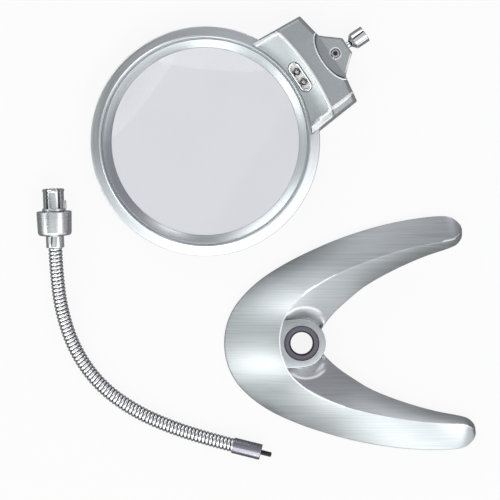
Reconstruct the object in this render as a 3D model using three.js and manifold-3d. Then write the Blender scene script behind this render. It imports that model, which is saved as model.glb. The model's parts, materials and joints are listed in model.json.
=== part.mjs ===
// A lighted stand magnifier, taken apart and laid out as a kit: the horseshoe base, the gooseneck
// arm with its snap plug, and the lens head with its lamp housing and ball joint.
// Millimetres, +Z up. The kit lies on z = 0 and the origin is the middle of its footprint.

import * as THREE from 'three';
import { mergeVertices } from 'three/addons/utils/BufferGeometryUtils.js';
import Module from 'manifold-3d';

const wasm = await Module();
wasm.setup();

// Clearances and cutting
const partGap = 0.3;
const overrun = 2;
const fullTurn = Math.PI * 2;
const quarterTurn = Math.PI / 2;

// Base casting, in its own frame: +X towards the tips of the arms, the origin on the bore's axis
const baseLength = 142;
const baseWidth = 135.2;
const baseHeight = 24;
const boreSetback = 44.7;
const bossRadius = 13.8;
const bossFlatX = 9.8;
const bossBulge = 5.4;
const crestBulgeShare = 0.05;
const scoopCentre = new THREE.Vector3(6.5, 14.5, 21.5);
const scoopRadii = new THREE.Vector3(17.2, 7.6, 15.2);

// Bush in the boss
const bushRadius = 9.8;
const bushBoreRadius = 6.35;
const bushLength = 10.4;
const bushSetDown = 0.9;
const bushChamfer = 0.8;

// Bottom cover, feet and screws of the base
const coverRim = 3;
const coverRecess = 2.2;
const coverThickness = 1.6;
const footRadius = 5;
const footProud = 1.2;
const footPocket = 0.9;
const footChamfer = 0.5;
const coverScrew = {
  headRadius: 2.6, headHeight: 1.1, shaftRadius: 1.4, length: 8, driveRadius: 1.1, driveDepth: 0.7,
};

// Gooseneck: its length and bend, and the ribs of its surface
const neckLength = 171;
const neckBend = THREE.MathUtils.degToRad(74.2);
const neckStartHeading = THREE.MathUtils.degToRad(-88.1);
const neckBendShares = [0.062, 0.162, 0.225, 0.248, 0.167, 0.094, 0.042];
const neckRadius = 4.05;
const neckGrooveRadius = 3.5;
const neckBoreRadius = 1.9;
const neckRibs = 11;
const neckLinkTilt = THREE.MathUtils.degToRad(15);
const neckLinkGap = 0.14;
const neckBallRadius = 2.85;
const neckBallTurnShares = [0.36, 0.5, 0.6];
const neckCupTurnShares = [0.4, 0.3];
const neckRibsPerBoreRing = 5;

// Plug and collar at the base end of the arm
const collarRadius = 10.2;
const collarLength = 14;
const collarTaper = 0.45;
const collarRound = 1.6;
const collarBore = 5;
const colletRadius = 6.05;
const colletBore = 4.1;
const colletFlange = 0.75;
const colletFlangeHeight = 1.4;
const colletReach = 12.7;
const colletHook = 0.5;
const colletHookHeight = 1.6;
const colletSlot = 1.3;
const stemLength = 8;
const lowerFerruleRadius = 5.25;
const lowerFerruleLength = 6.7;
const lowerFerruleStem = 3.4;

// Ferrule and threaded stud at the head end of the arm
const upperFerruleRadius = 4.6;
const upperFerruleLength = 16.7;
const upperFerruleGrip = 8;
const studRadius = 1.5;
const studLength = 6.2;
const studSeat = 5;
const studChamfer = 0.4;
const restTolerance = 0.001;

// Lens and the two rings that hold it, as radii and heights above the surface
const lensRadius = 55;
const lensEdge = 2.6;
const lensFrontRise = 5.2;
const lensRearRise = 4.2;
const lensSeatHeight = 5.6;
const lensLip = 0.8;
const lensSight = lensRadius - lensLip;
const coneWidth = 3.8;
const coneRadius = lensRadius + coneWidth;
const rimWall = 7.9;
const rimRadius = lensRadius + rimWall;
const flangeOverhang = 3.3;
const flangeRadius = rimRadius + flangeOverhang;
const flangeTop = 14.4;
const flangeThickness = 2.95;
const flangeChamfer = 0.7;
const beadPastCone = 1.8;
const beadRadius = coneRadius + beadPastCone;
const beadWidth = 1.4;
const beadRise = 0.45;
const grooveWidth = 0.7;
const grooveDepth = 0.7;
const rimChamfer = 1;
const ringJoint = 9.4;
const ringScrewPast = 4.3;
const ringScrewRadius = lensRadius + ringScrewPast;
const ringScrewAngles = [70, 140, 220, 290].map((angle) => THREE.MathUtils.degToRad(angle));
const ringScrew = {
  headRadius: 1.5, headHeight: 0.9, shaftRadius: 0.85, length: 11, driveRadius: 0.7, driveDepth: 0.5,
};
const shellScrew = { ...ringScrew, length: 15 };

// Lamp and battery housing, in the head's frame: +X away from the lens, the origin on the lens axis
const housingCorner = 2.6;
const housingHalfNear = 30.6;
const housingHalfFar = 27.9;
const housingNearInset = 8.8;
const housingNearX = rimRadius - housingNearInset;
const housingFlatHalf = 13.8;
const housingDraft = 1.8;
const farDraftShare = 0.33;
const housingTop = 21.8;
const lipThickness = 1.9;
const dishPower = 1.5;
const dishSteps = 5;
const arcRounds = 4;
const ridgePastCell = 2.8;
const ridgeRadius = 130;
const ridgeStep = 0.8;
const shoulderTop = 19.9;
const shoulderWidth = 2;
const shoulderDrop = 2.3;
const sideBevel = 1;
const housingBase = 0.9;
const barShare = 0.955;
const dishShare = 0.925;

// Battery compartment, cells and door
const cellRadius = 5.1;
const cellLength = 43.3;
const cellNearWall = 1.9;
const cellFarWall = 2.6;
const cellNub = 1.2;
const cellNubRadius = 1.9;
const cellHeight = 6.9;
const cellGap = 0.2;
const compartmentHalf = 24.9;
const compartmentCeiling = 12.4;
const contactThickness = 0.5;
const contactHeight = 8;
const springRadius = 3;
const springTipShare = 0.6;
const doorThickness = 1.2;
const doorSetUp = 0.2;
const doorRim = 0.6;
const doorGripLength = 14;
const doorGripWidth = 1;
const doorGripDepth = 0.5;
const doorGrips = 5;
const firstCellX = rimRadius + cellNearWall + cellRadius;
const secondCellX = firstCellX + cellRadius * 2 + cellGap;
const housingReach = secondCellX + cellRadius + cellFarWall;
const ridgeX = firstCellX + ridgePastCell;

// Lamp window, its board and its two lamps
const windowAlong = 0.396;
const windowHalfLength = 9.85;
const windowHalfWidth = 4.1;
const windowDepth = 1.7;
const boardThickness = 0.6;
const windowFrame = 1.35;
const windowProud = 0.5;
const lampSpacing = 7;
const lampRadius = 2;
const lampHeight = 0.9;
const lampFlange = 0.3;
const lampFlangeHeight = 0.3;
const lampDomeShares = [[0.8, 0.4], [0.45, 0.6], [0, 0.65]];

// Slide switch in the housing's side wall
const switchPastCell = 7.1;
const switchHeight = 5.2;
const switchLength = 9;
const switchWidth = 4;
const switchPocketDepth = 1.4;
const knobLength = 3.4;
const knobTravel = 2;
const knobSetback = 0.3;
const switchBodyDepth = 1.7;
const switchX = firstCellX + switchPastCell;

// Ball joint: two jaws, the clamp screw and nut, and the ball stud with its threaded sleeve
const jointHeight = 10;
const ballReach = 8;
const ballX = housingReach + ballReach;
const ballRadius = 3.2;
const jawPastBall = 2.8;
const jawEndX = ballX + jawPastBall;
const jawHalfNear = 14;
const jawHalfFar = 5;
const jawTop = 15.8;
const jawRootTop = 19.2;
const jawRootBottom = 14.3;
const jawBevel = 1.2;
const jawRootLength = 7;
const jawRootHalf = 16;
const jawRootShares = [0.04, 0.15, 0.4, 0.75, 1];
const jawRootReach = 0.8;
const jawRootX = housingReach + jawRootReach;
const clampReach = 2.5;
const clampX = housingReach + clampReach;
const clampHeadRadius = 2.4;
const clampHeadHeight = 2.2;
const clampHeadSetDown = 0.4;
const clampSocketRadius = 1.3;
const clampSocketDepth = 1.2;
const clampShaftRadius = 0.95;
const clampRecessRadius = 3;
const nutRadius = 1.95;
const nutHeight = 1.8;
const waistRadius = 1.8;
const waistLength = 4.6;
const flareX = ballX + waistLength;
const flareLength = 2.9;
const sleeveX = flareX + flareLength;
const sleeveRadius = 4.9;
const sleeveLength = 7.9;
const sleeveBore = 1.65;
const sleeveBoreDepth = 6.5;
const sleeveChamfer = 0.5;
const stemTilt = THREE.MathUtils.degToRad(20);

// Layout of the three groups on the surface
const baseAt = new THREE.Vector2(29.7, -53.6);
const baseTurn = THREE.MathUtils.degToRad(3.9);
const headAt = new THREE.Vector2(-25.8, 62.8);
const headTurn = THREE.MathUtils.degToRad(34);
const neckAt = new THREE.Vector2(-112.5, 1.4);

// Facet counts
const ringFacets = 56;
const roundFacets = 24;
const ballFacets = 16;
const cellFacets = 18;
const smallFacets = 12;
const screwFacets = 8;
const hexFacets = 6;
const sphereRows = 10;
const neckFacets = 8;
const stationSteps = 2;
const lensSteps = 4;
const slopeSteps = 3;

const satin = { color: 0xb4b8ba, roughness: 0.38, metalness: 1 };
const chrome = { color: 0xd6d8da, roughness: 0.08, metalness: 1 };
const silverPaint = { color: 0xa9afb0, roughness: 0.42, metalness: 0.85 };
const darkPlastic = { color: 0x4a4654, roughness: 0.5, metalness: 0.1 };
const blackRubber = { color: 0x1c1c1e, roughness: 0.9, metalness: 0 };
const steel = { color: 0x8f9296, roughness: 0.3, metalness: 1 };
const blackSteel = { color: 0x3a363c, roughness: 0.45, metalness: 0.9 };
const clearLens = { color: 0xe8eaec, roughness: 0.03, metalness: 0, transparent: true, opacity: 0.35 };
const lampDome = { color: 0xf4f6ee, roughness: 0.1, metalness: 0 };
const boardGreen = { color: 0x2f5a3c, roughness: 0.6, metalness: 0 };
const cellJacket = { color: 0x33373d, roughness: 0.4, metalness: 0.3 };

// Triangle order is turned round where a shape's volume comes out negative, so that faces point out.
function facingOut(geometry) {
  const merged = bareGeometry(geometry);
  const index = merged.getIndex().array;
  const at = merged.getAttribute('position');
  const corner = [new THREE.Vector3(), new THREE.Vector3(), new THREE.Vector3()];
  let volume = 0;
  for (let i = 0; i < index.length; i += 3) {
    corner.forEach((point, k) => point.fromBufferAttribute(at, index[i + k]));
    volume += corner[0].dot(corner[1].cross(corner[2]));
  }
  if (volume < 0) {
    for (let i = 0; i < index.length; i += 3) {
      const kept = index[i];
      index[i] = index[i + 1];
      index[i + 1] = kept;
    }
  }
  return merged;
}

function bareGeometry(geometry) {
  const bare = geometry.clone();
  bare.deleteAttribute('normal');
  bare.deleteAttribute('uv');
  return mergeVertices(bare);
}

function toSolid(geometry) {
  const bare = facingOut(geometry);
  const vertProperties = new Float32Array(bare.getAttribute('position').array);
  const triVerts = new Uint32Array(bare.getIndex().array);
  return new wasm.Manifold(new wasm.Mesh({ numProp: 3, vertProperties, triVerts }));
}

function toGeometry(solid) {
  const mesh = solid.getMesh();
  const geometry = new THREE.BufferGeometry();
  geometry.setAttribute('position', new THREE.BufferAttribute(new Float32Array(mesh.vertProperties), 3));
  geometry.setIndex(new THREE.BufferAttribute(new Uint32Array(mesh.triVerts), 1));
  return geometry;
}

function cut(geometry, ...cutters) {
  return toGeometry(cutters.reduce((rest, cutter) => rest.subtract(toSolid(cutter)), toSolid(geometry)));
}

function join(...geometries) {
  return toGeometry(geometries.map(toSolid).reduce((whole, next) => whole.add(next)));
}

function addMesh(parent, name, geometry, finish) {
  const shown = facingOut(geometry);
  shown.computeVertexNormals();
  const mesh = new THREE.Mesh(shown, new THREE.MeshStandardMaterial(finish));
  mesh.name = name;
  parent.add(mesh);
  return mesh;
}

// A closed profile of [radius, height] pairs turned about +Z. A profile that starts and ends on the
// axis makes a full solid, any other is closed on itself and makes a ring.
function turned(profile, facets) {
  const points = profile.map(([radius, height]) => new THREE.Vector2(radius, height));
  const onAxis = profile[0][0] === 0 && profile[profile.length - 1][0] === 0;
  if (!onAxis) points.push(points[0].clone());
  return new THREE.LatheGeometry(points, facets).rotateX(quarterTurn);
}

function disc(radius, low, high, facets) {
  return turned([[0, low], [radius, low], [radius, high], [0, high]], facets);
}

function block(low, high) {
  const size = high.clone().sub(low);
  const middle = high.clone().add(low).multiplyScalar(1 / 2);
  return new THREE.BoxGeometry(size.x, size.y, size.z).translate(middle.x, middle.y, middle.z);
}

function extruded(shape, low, high, curveSegments = smallFacets) {
  const settings = { depth: high - low, bevelEnabled: false, curveSegments };
  return new THREE.ExtrudeGeometry(shape, settings).translate(0, 0, low);
}

// Rings of points with equal counts, skinned one to the next. The ends are filled with flat faces,
// or the last ring joins the first.
function lofted(rings, closedLoop = false) {
  const count = rings[0].length;
  const positions = rings.flat().flatMap((point) => [point.x, point.y, point.z]);
  const index = [];
  const spans = closedLoop ? rings.length : rings.length - 1;
  for (let i = 0; i < spans; i += 1) {
    const here = i * count;
    const next = ((i + 1) % rings.length) * count;
    for (let k = 0; k < count; k += 1) {
      const after = (k + 1) % count;
      index.push(here + k, next + k, next + after);
      index.push(here + k, next + after, here + after);
    }
  }
  if (!closedLoop) {
    fillEnd(rings[0], 0, true, index);
    fillEnd(rings[rings.length - 1], (rings.length - 1) * count, false, index);
  }
  const geometry = new THREE.BufferGeometry();
  geometry.setAttribute('position', new THREE.Float32BufferAttribute(positions, 3));
  geometry.setIndex(index);
  return geometry;
}

// The end ring is seen flat along its own normal, so that its outline can be filled.
function fillEnd(ring, offset, turnRound, index) {
  const normal = new THREE.Vector3();
  ring.forEach((point, k) => normal.add(point.clone().cross(ring[(k + 1) % ring.length])));
  const across = ring[1].clone().sub(ring[0]).normalize();
  const up = normal.normalize().clone().cross(across).normalize();
  const flat = ring.map((point) => new THREE.Vector2(point.dot(across), point.dot(up)));
  for (const [a, b, c] of THREE.ShapeUtils.triangulateShape(flat, [])) {
    if (turnRound) index.push(offset + a, offset + b, offset + c);
    else index.push(offset + a, offset + c, offset + b);
  }
}

function pocketScrew(screw) {
  const driveLow = screw.headHeight - screw.driveDepth;
  const drive = disc(screw.driveRadius, driveLow, screw.headHeight + overrun, hexFacets);
  const profile = [
    [0, screw.headHeight - screw.length],
    [screw.shaftRadius, screw.headHeight - screw.length],
    [screw.shaftRadius, 0],
    [screw.headRadius, 0],
    [screw.headRadius, screw.headHeight],
    [0, screw.headHeight],
  ];
  return cut(turned(profile, screwFacets), drive);
}

// The hole for such a screw: its head's recess from seat height up, and its shaft below.
function screwHole(screw) {
  const depth = screw.length - screw.headHeight + partGap;
  const shaft = disc(screw.shaftRadius + partGap, -depth, overrun, screwFacets);
  const recess = disc(screw.headRadius + partGap, -partGap, screw.headHeight + overrun, screwFacets);
  return join(shaft, recess);
}

// Base. Each station across an arm has a point on the outer edge, one on the crest and one on the
// inner edge: shares of the length from the apex and of the half width from the middle line.
const outerEdgeShares = [
  [0, 0], [0.01, 0.157], [0.039, 0.3], [0.093, 0.438], [0.17, 0.567], [0.265, 0.677], [0.369, 0.771],
  [0.515, 0.876], [0.716, 0.969], [0.906, 1], [0.959, 0.981], [0.992, 0.92], [1, 0.878],
];
const crestShares = [
  [0.225, 0], [0.229, 0.089], [0.243, 0.186], [0.271, 0.29], [0.322, 0.393], [0.389, 0.482], [0.473, 0.565],
  [0.607, 0.657], [0.78, 0.743], [0.92, 0.783], [0.964, 0.799], [0.985, 0.825], [0.996, 0.845],
];
const innerEdgeShares = [
  [0.35, 0], [0.371, 0.044], [0.392, 0.081], [0.413, 0.141], [0.452, 0.229], [0.508, 0.325], [0.587, 0.441],
  [0.711, 0.565], [0.84, 0.663], [0.945, 0.722], [0.973, 0.746], [0.993, 0.79], [0.999, 0.825],
];
const crestHeightShares = [1, 1, 0.992, 0.975, 0.933, 0.875, 0.804, 0.679, 0.525, 0.4, 0.367, 0.27, 0.17];
const innerWallShares = [0.42, 0.42, 0.42, 0.42, 0.36, 0.29, 0.23, 0.19, 0.165, 0.15, 0.145, 0.13, 0.12];
const outerWallShare = 0.125;
const coverStations = 11;

function baseStations(shares, heightOf) {
  const half = shares.map(([along, aside], k) => new THREE.Vector3(
    along * baseLength - boreSetback,
    aside * baseWidth / 2,
    heightOf(k) * baseHeight,
  ));
  const mirrored = half.slice(1).reverse().map((point) => new THREE.Vector3(point.x, -point.y, point.z));
  const curve = new THREE.CatmullRomCurve3([...mirrored, ...half], false, 'centripetal');
  const steps = (shares.length - 1) * 2 * stationSteps;
  return Array.from({ length: steps + 1 }, (_, k) => curve.getPoint(k / steps));
}

const outerStations = baseStations(outerEdgeShares, () => outerWallShare);
const crestStations = baseStations(crestShares, (k) => crestHeightShares[k]);
const innerStations = baseStations(innerEdgeShares, (k) => innerWallShares[k]);

// Points from an edge up to the crest, slightly crowned, without either end.
function slopePoints(edge, crest) {
  return Array.from({ length: slopeSteps - 1 }, (_, k) => {
    const share = (k + 1) / slopeSteps;
    const point = edge.clone().lerp(crest, share);
    point.z += crestBulgeShare * (crest.z - edge.z) * 4 * share * (1 - share);
    return point;
  });
}

function castingBody() {
  const rings = outerStations.map((outer, k) => {
    const crest = crestStations[k];
    const inner = innerStations[k];
    return [
      new THREE.Vector3(outer.x, outer.y, 0),
      outer,
      ...slopePoints(outer, crest),
      crest,
      ...slopePoints(inner, crest).reverse(),
      inner,
      new THREE.Vector3(inner.x, inner.y, 0),
    ];
  });
  return lofted(rings);
}

// A flat plate that follows the base's outline, set in from both edges.
function basePlate(inset, low, high) {
  const skipped = (outerEdgeShares.length - coverStations) * stationSteps;
  const rings = outerStations.slice(skipped, outerStations.length - skipped).map((outer, k) => {
    const inner = innerStations[k + skipped];
    const inward = new THREE.Vector3(inner.x - outer.x, inner.y - outer.y, 0).setLength(inset);
    const start = new THREE.Vector3(outer.x, outer.y, low).add(inward);
    const end = new THREE.Vector3(inner.x, inner.y, low).sub(inward);
    const lift = new THREE.Vector3(0, 0, high - low);
    return [start, end, end.clone().add(lift), start.clone().add(lift)];
  });
  return lofted(rings);
}

function bossBody() {
  const outline = new THREE.Shape();
  outline.moveTo(-bossFlatX, -bossRadius);
  outline.lineTo(0, -bossRadius);
  outline.absarc(0, 0, bossRadius, -quarterTurn, quarterTurn, false);
  outline.lineTo(-bossFlatX, bossRadius);
  outline.quadraticCurveTo(-bossFlatX - bossBulge, 0, -bossFlatX, -bossRadius);
  return extruded(outline, 0, baseHeight, roundFacets / 2);
}

function scoop(side) {
  const ball = new THREE.SphereGeometry(1, roundFacets, sphereRows);
  ball.scale(scoopRadii.x, scoopRadii.y, scoopRadii.z);
  return ball.translate(scoopCentre.x, scoopCentre.y * side, scoopCentre.z);
}

const footPlaceShares = [[0.12, 0.28], [0.12, -0.28], [0.88, 0.86], [0.88, -0.86]];
const coverScrewShares = [[0.24, 0.44], [0.24, -0.44], [0.64, 0.76], [0.64, -0.76]];
const onBase = ([along, aside]) => new THREE.Vector2(along * baseLength - boreSetback, aside * baseWidth / 2);
const coverLow = coverRecess - partGap - coverThickness;

function buildBase(parent) {
  const base = new THREE.Group();
  base.position.set(baseAt.x, baseAt.y, footProud - coverLow);
  base.rotation.z = baseTurn;
  parent.add(base);

  const bushTop = baseHeight - bushSetDown;
  const bushSeat = bushTop - bushLength;
  const clearBore = bushRadius - bushChamfer;
  const holes = coverScrewShares.map(onBase).map((at) => (
    screwHole(coverScrew).rotateX(Math.PI).translate(at.x, at.y, coverLow + coverScrew.headHeight)
  ));
  const shaped = cut(castingBody(), scoop(1), scoop(-1));
  const casting = cut(
    join(shaped, bossBody()),
    basePlate(coverRim, -overrun, coverRecess),
    disc(bushRadius + partGap, bushSeat - partGap, baseHeight + overrun, roundFacets),
    disc(clearBore, -overrun, baseHeight, roundFacets),
    ...holes,
  );
  addMesh(base, 'base_casting', casting, satin);

  const bush = turned([
    [bushBoreRadius, bushSeat],
    [bushRadius, bushSeat],
    [bushRadius, bushTop],
    [bushBoreRadius + bushChamfer, bushTop],
    [bushBoreRadius, bushTop - bushChamfer],
  ], roundFacets);
  addMesh(base, 'base_bush', bush, darkPlastic);

  const footHole = disc(footRadius + partGap, coverLow - overrun, coverLow + footPocket, roundFacets);
  const footHoles = footPlaceShares.map(onBase).map((at) => footHole.clone().translate(at.x, at.y, 0));
  const cover = cut(
    basePlate(coverRim + partGap, coverLow, coverLow + coverThickness),
    disc(bushRadius + coverRim, -overrun, baseHeight, roundFacets),
    ...footHoles,
    ...holes,
  );
  addMesh(base, 'base_bottom_cover', cover, darkPlastic);

  footPlaceShares.map(onBase).forEach((at, k) => {
    const foot = turned([
      [0, coverLow - footProud],
      [footRadius - footChamfer, coverLow - footProud],
      [footRadius, coverLow - footProud + footChamfer],
      [footRadius, coverLow + footPocket - partGap],
      [0, coverLow + footPocket - partGap],
    ], smallFacets);
    addMesh(base, `base_foot_${k + 1}`, foot.translate(at.x, at.y, 0), blackRubber);
  });

  coverScrewShares.map(onBase).forEach((at, k) => {
    const screw = pocketScrew(coverScrew).rotateX(Math.PI);
    screw.translate(at.x, at.y, coverLow + coverScrew.headHeight);
    addMesh(base, `base_cover_screw_${k + 1}`, screw, steel);
  });
}

// Arm. Each link of the gooseneck is an arc that starts at its own group's origin, along +X, and
// the next link's group stands at its end, where the two links bend against each other.
const linkLength = neckLength / neckBendShares.length;

function arcPoint(bend, along, radius, turn) {
  const angle = bend * along / linkLength;
  const bow = linkLength / bend;
  const x = bow * Math.sin(angle) - radius * Math.cos(turn) * Math.sin(angle);
  const y = bow * (1 - Math.cos(angle)) + radius * Math.cos(turn) * Math.cos(angle);
  return new THREE.Vector3(x, y, radius * Math.sin(turn));
}

function neckRing(bend, along, radius) {
  return Array.from({ length: neckFacets }, (_, k) => (
    arcPoint(bend, along, radius, fullTurn * k / neckFacets)
  ));
}

const endSlope = Math.tan(neckLinkTilt);
const endBack = (radius) => radius * endSlope + neckLinkGap;

// Rings of one link from its start to its end outside, then back through the bore. An end in a
// ferrule runs plain past the arc. Elsewhere a link starts with a ball and ends with the cup for
// the next one's ball, both about the joint's centre, and is coned so that the joint can bend.
function neckLink(bend, startReach, endReach) {
  const first = startReach ? 0 : endBack(neckRadius);
  const last = linkLength - (endReach ? 0 : endBack(neckRadius));
  const pitch = (last - first) / neckRibs;
  const cupRadius = neckBallRadius + partGap;
  const onSphere = (centre, radius, turn) => [
    centre - radius * Math.cos(Math.PI * turn),
    radius * Math.sin(Math.PI * turn),
  ];
  const steps = [[first, startReach ? neckGrooveRadius : neckRadius]];
  for (let rib = 0; rib < neckRibs; rib += 1) {
    if (rib > 0) steps.push([first + rib * pitch, neckGrooveRadius]);
    steps.push([first + (rib + 1 / 2) * pitch, neckRadius]);
  }
  if (endReach) {
    steps.push([last, neckGrooveRadius], [linkLength + endReach, neckGrooveRadius]);
  } else {
    steps.push([last, neckRadius]);
    neckCupTurnShares.forEach((turn) => steps.push(onSphere(linkLength, cupRadius, turn)));
  }
  const boreStart = startReach ? -startReach : -Math.sqrt(neckBallRadius ** 2 - neckBoreRadius ** 2);
  const boreEnd = linkLength + (endReach || -Math.sqrt(cupRadius ** 2 - neckBoreRadius ** 2));
  const boreRings = Math.ceil(neckRibs / neckRibsPerBoreRing);
  for (let k = 0; k <= boreRings; k += 1) {
    steps.push([boreEnd + (boreStart - boreEnd) * k / boreRings, neckBoreRadius]);
  }
  if (startReach) steps.push([-startReach, neckGrooveRadius]);
  else neckBallTurnShares.forEach((turn) => steps.push(onSphere(0, neckBallRadius, turn)));
  return lofted(steps.map(([along, radius]) => neckRing(bend, along, radius)), true);
}

function turnedAlongX(profile, facets) {
  return turned(profile, facets).rotateY(quarterTurn);
}

function colletBody() {
  const rise = colletFlangeHeight;
  const body = turnedAlongX([
    [colletBore, -stemLength],
    [collarBore - partGap, -stemLength],
    [collarBore - partGap, 0],
    [colletRadius + colletFlange, 0],
    [colletRadius + colletFlange, rise],
    [colletRadius, rise],
    [colletRadius, colletReach - colletHookHeight],
    [colletRadius + colletHook, colletReach - colletHookHeight * 2 / 3],
    [colletRadius, colletReach],
    [colletBore, colletReach],
  ], roundFacets);
  const reach = colletRadius + overrun;
  const slot = block(
    new THREE.Vector3(rise, -reach, -colletSlot / 2),
    new THREE.Vector3(colletReach + overrun, reach, colletSlot / 2),
  );
  return cut(body, slot.clone().rotateX(quarterTurn / 2), slot.rotateX(-quarterTurn / 2));
}

function buildPlug(link) {
  const plug = new THREE.Group();
  plug.rotation.z = Math.PI;
  link.add(plug);
  const ferruleTop = lowerFerruleLength;
  const boreGap = neckGrooveRadius + partGap;
  const ferrule = turnedAlongX([
    [neckBoreRadius, ferruleTop + lowerFerruleStem],
    [neckBoreRadius, ferruleTop],
    [boreGap, ferruleTop],
    [boreGap, 0],
    [lowerFerruleRadius, 0],
    [lowerFerruleRadius, ferruleTop],
    [collarBore - partGap, ferruleTop],
    [collarBore - partGap, ferruleTop + lowerFerruleStem],
  ], roundFacets);
  addMesh(plug, 'arm_lower_ferrule', ferrule, chrome);

  const collarLow = ferruleTop + partGap;
  const collarHigh = collarLow + collarLength;
  const collar = turnedAlongX([
    [collarBore, collarLow],
    [collarRadius - collarTaper - collarRound, collarLow],
    [collarRadius - collarTaper - collarRound / 4, collarLow + collarRound / 3],
    [collarRadius - collarTaper, collarLow + collarRound],
    [collarRadius, collarHigh - partGap],
    [collarRadius - partGap, collarHigh],
    [collarBore, collarHigh],
  ], roundFacets);
  addMesh(plug, 'arm_collar', collar, satin);

  const collet = colletBody().translate(collarHigh + partGap, 0, 0);
  addMesh(plug, 'arm_collet', collet, satin);
}

function buildTip(link) {
  const tip = new THREE.Group();
  tip.position.copy(arcPoint(neckBend * neckBendShares.at(-1), linkLength, 0, 0));
  tip.rotation.z = neckBend * neckBendShares.at(-1);
  link.add(tip);
  const gripEnd = upperFerruleGrip + partGap;
  const seatStart = upperFerruleLength - studSeat;
  const ferrule = turnedAlongX([
    [0, gripEnd],
    [neckGrooveRadius + partGap, gripEnd],
    [neckGrooveRadius + partGap, 0],
    [upperFerruleRadius - partGap, 0],
    [upperFerruleRadius, partGap],
    [upperFerruleRadius, upperFerruleLength - partGap],
    [upperFerruleRadius - partGap, upperFerruleLength],
    [studRadius + partGap, upperFerruleLength],
    [studRadius + partGap, seatStart],
    [0, seatStart],
  ], roundFacets);
  addMesh(tip, 'arm_upper_ferrule', ferrule, satin);

  const studEnd = upperFerruleLength + studLength;
  const stud = turnedAlongX([
    [0, seatStart + partGap],
    [studRadius, seatStart + partGap],
    [studRadius, studEnd - studChamfer],
    [studRadius - studChamfer, studEnd],
    [0, studEnd],
  ], smallFacets);
  addMesh(tip, 'arm_stud', stud, blackSteel);
}

// The arm settles on the three of its low points that carry it: every other point stays above the
// plane through them, and its middle lies between them.
function restingPlane(points) {
  const middle = new THREE.Vector3();
  points.forEach((point) => middle.addScaledVector(point, 1 / points.length));
  const plane = new THREE.Plane();
  for (let a = 0; a < points.length; a += 1) {
    for (let b = a + 1; b < points.length; b += 1) {
      for (let c = b + 1; c < points.length; c += 1) {
        plane.setFromCoplanarPoints(points[a], points[b], points[c]);
        if (plane.normal.z < 0) plane.negate();
        const clear = points.every((point) => plane.distanceToPoint(point) > -restTolerance);
        const flat = [a, b, c].map((k) => points[k].clone().setZ(0));
        const carried = new THREE.Triangle(...flat).containsPoint(middle.clone().setZ(0));
        if (clear && carried) return plane.clone();
      }
    }
  }
  return plane.set(new THREE.Vector3(0, 0, 1), upperFerruleRadius);
}

function layDown(arm, points) {
  const plane = restingPlane(points);
  const lean = new THREE.Quaternion().setFromUnitVectors(plane.normal, new THREE.Vector3(0, 0, 1));
  arm.quaternion.copy(lean);
  arm.position.set(neckAt.x, neckAt.y, plane.constant);
}

function buildArm(parent) {
  const arm = new THREE.Group();
  parent.add(arm);
  let link = new THREE.Group();
  link.rotation.z = neckStartHeading;
  arm.add(link);
  buildPlug(link);
  const ends = [];
  neckBendShares.forEach((share, k) => {
    const bend = neckBend * share;
    const startReach = k === 0 ? lowerFerruleLength - partGap : 0;
    const endReach = k === neckBendShares.length - 1 ? upperFerruleGrip : 0;
    addMesh(link, `gooseneck_${k + 1}`, neckLink(bend, startReach, endReach), chrome);
    if (endReach) {
      buildTip(link);
    } else {
      const next = new THREE.Group();
      next.name = `neck_bend_${k + 1}`;
      next.position.copy(arcPoint(bend, linkLength, 0, 0));
      next.rotation.z = bend;
      link.add(next);
      link = next;
      ends.push(next);
    }
  });
  arm.updateMatrixWorld(true);
  const lowPoint = (group, along, radius) => group.localToWorld(new THREE.Vector3(along, 0, -radius));
  const collarLow = -lowerFerruleLength - partGap;
  const first = arm.children[0];
  layDown(arm, [
    lowPoint(first, collarLow - collarRound, collarRadius - collarTaper),
    lowPoint(first, collarLow - collarLength, collarRadius),
    ...ends.map((end) => lowPoint(end, 0, neckRadius)),
    ...ends.map((end) => lowPoint(end, linkLength / 2, neckRadius)),
    lowPoint(link, linkLength, upperFerruleRadius),
    lowPoint(link, linkLength + upperFerruleLength, upperFerruleRadius),
  ]);
}

// Head
function lensCap(radius, rise, height, steps) {
  const sphere = (radius * radius + rise * rise) / (2 * Math.abs(rise));
  const sign = Math.sign(rise);
  return Array.from({ length: steps + 1 }, (_, k) => {
    const r = radius * k / steps;
    const drop = sphere - Math.sqrt(sphere * sphere - r * r);
    return [r, height + rise - sign * drop];
  });
}

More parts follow.
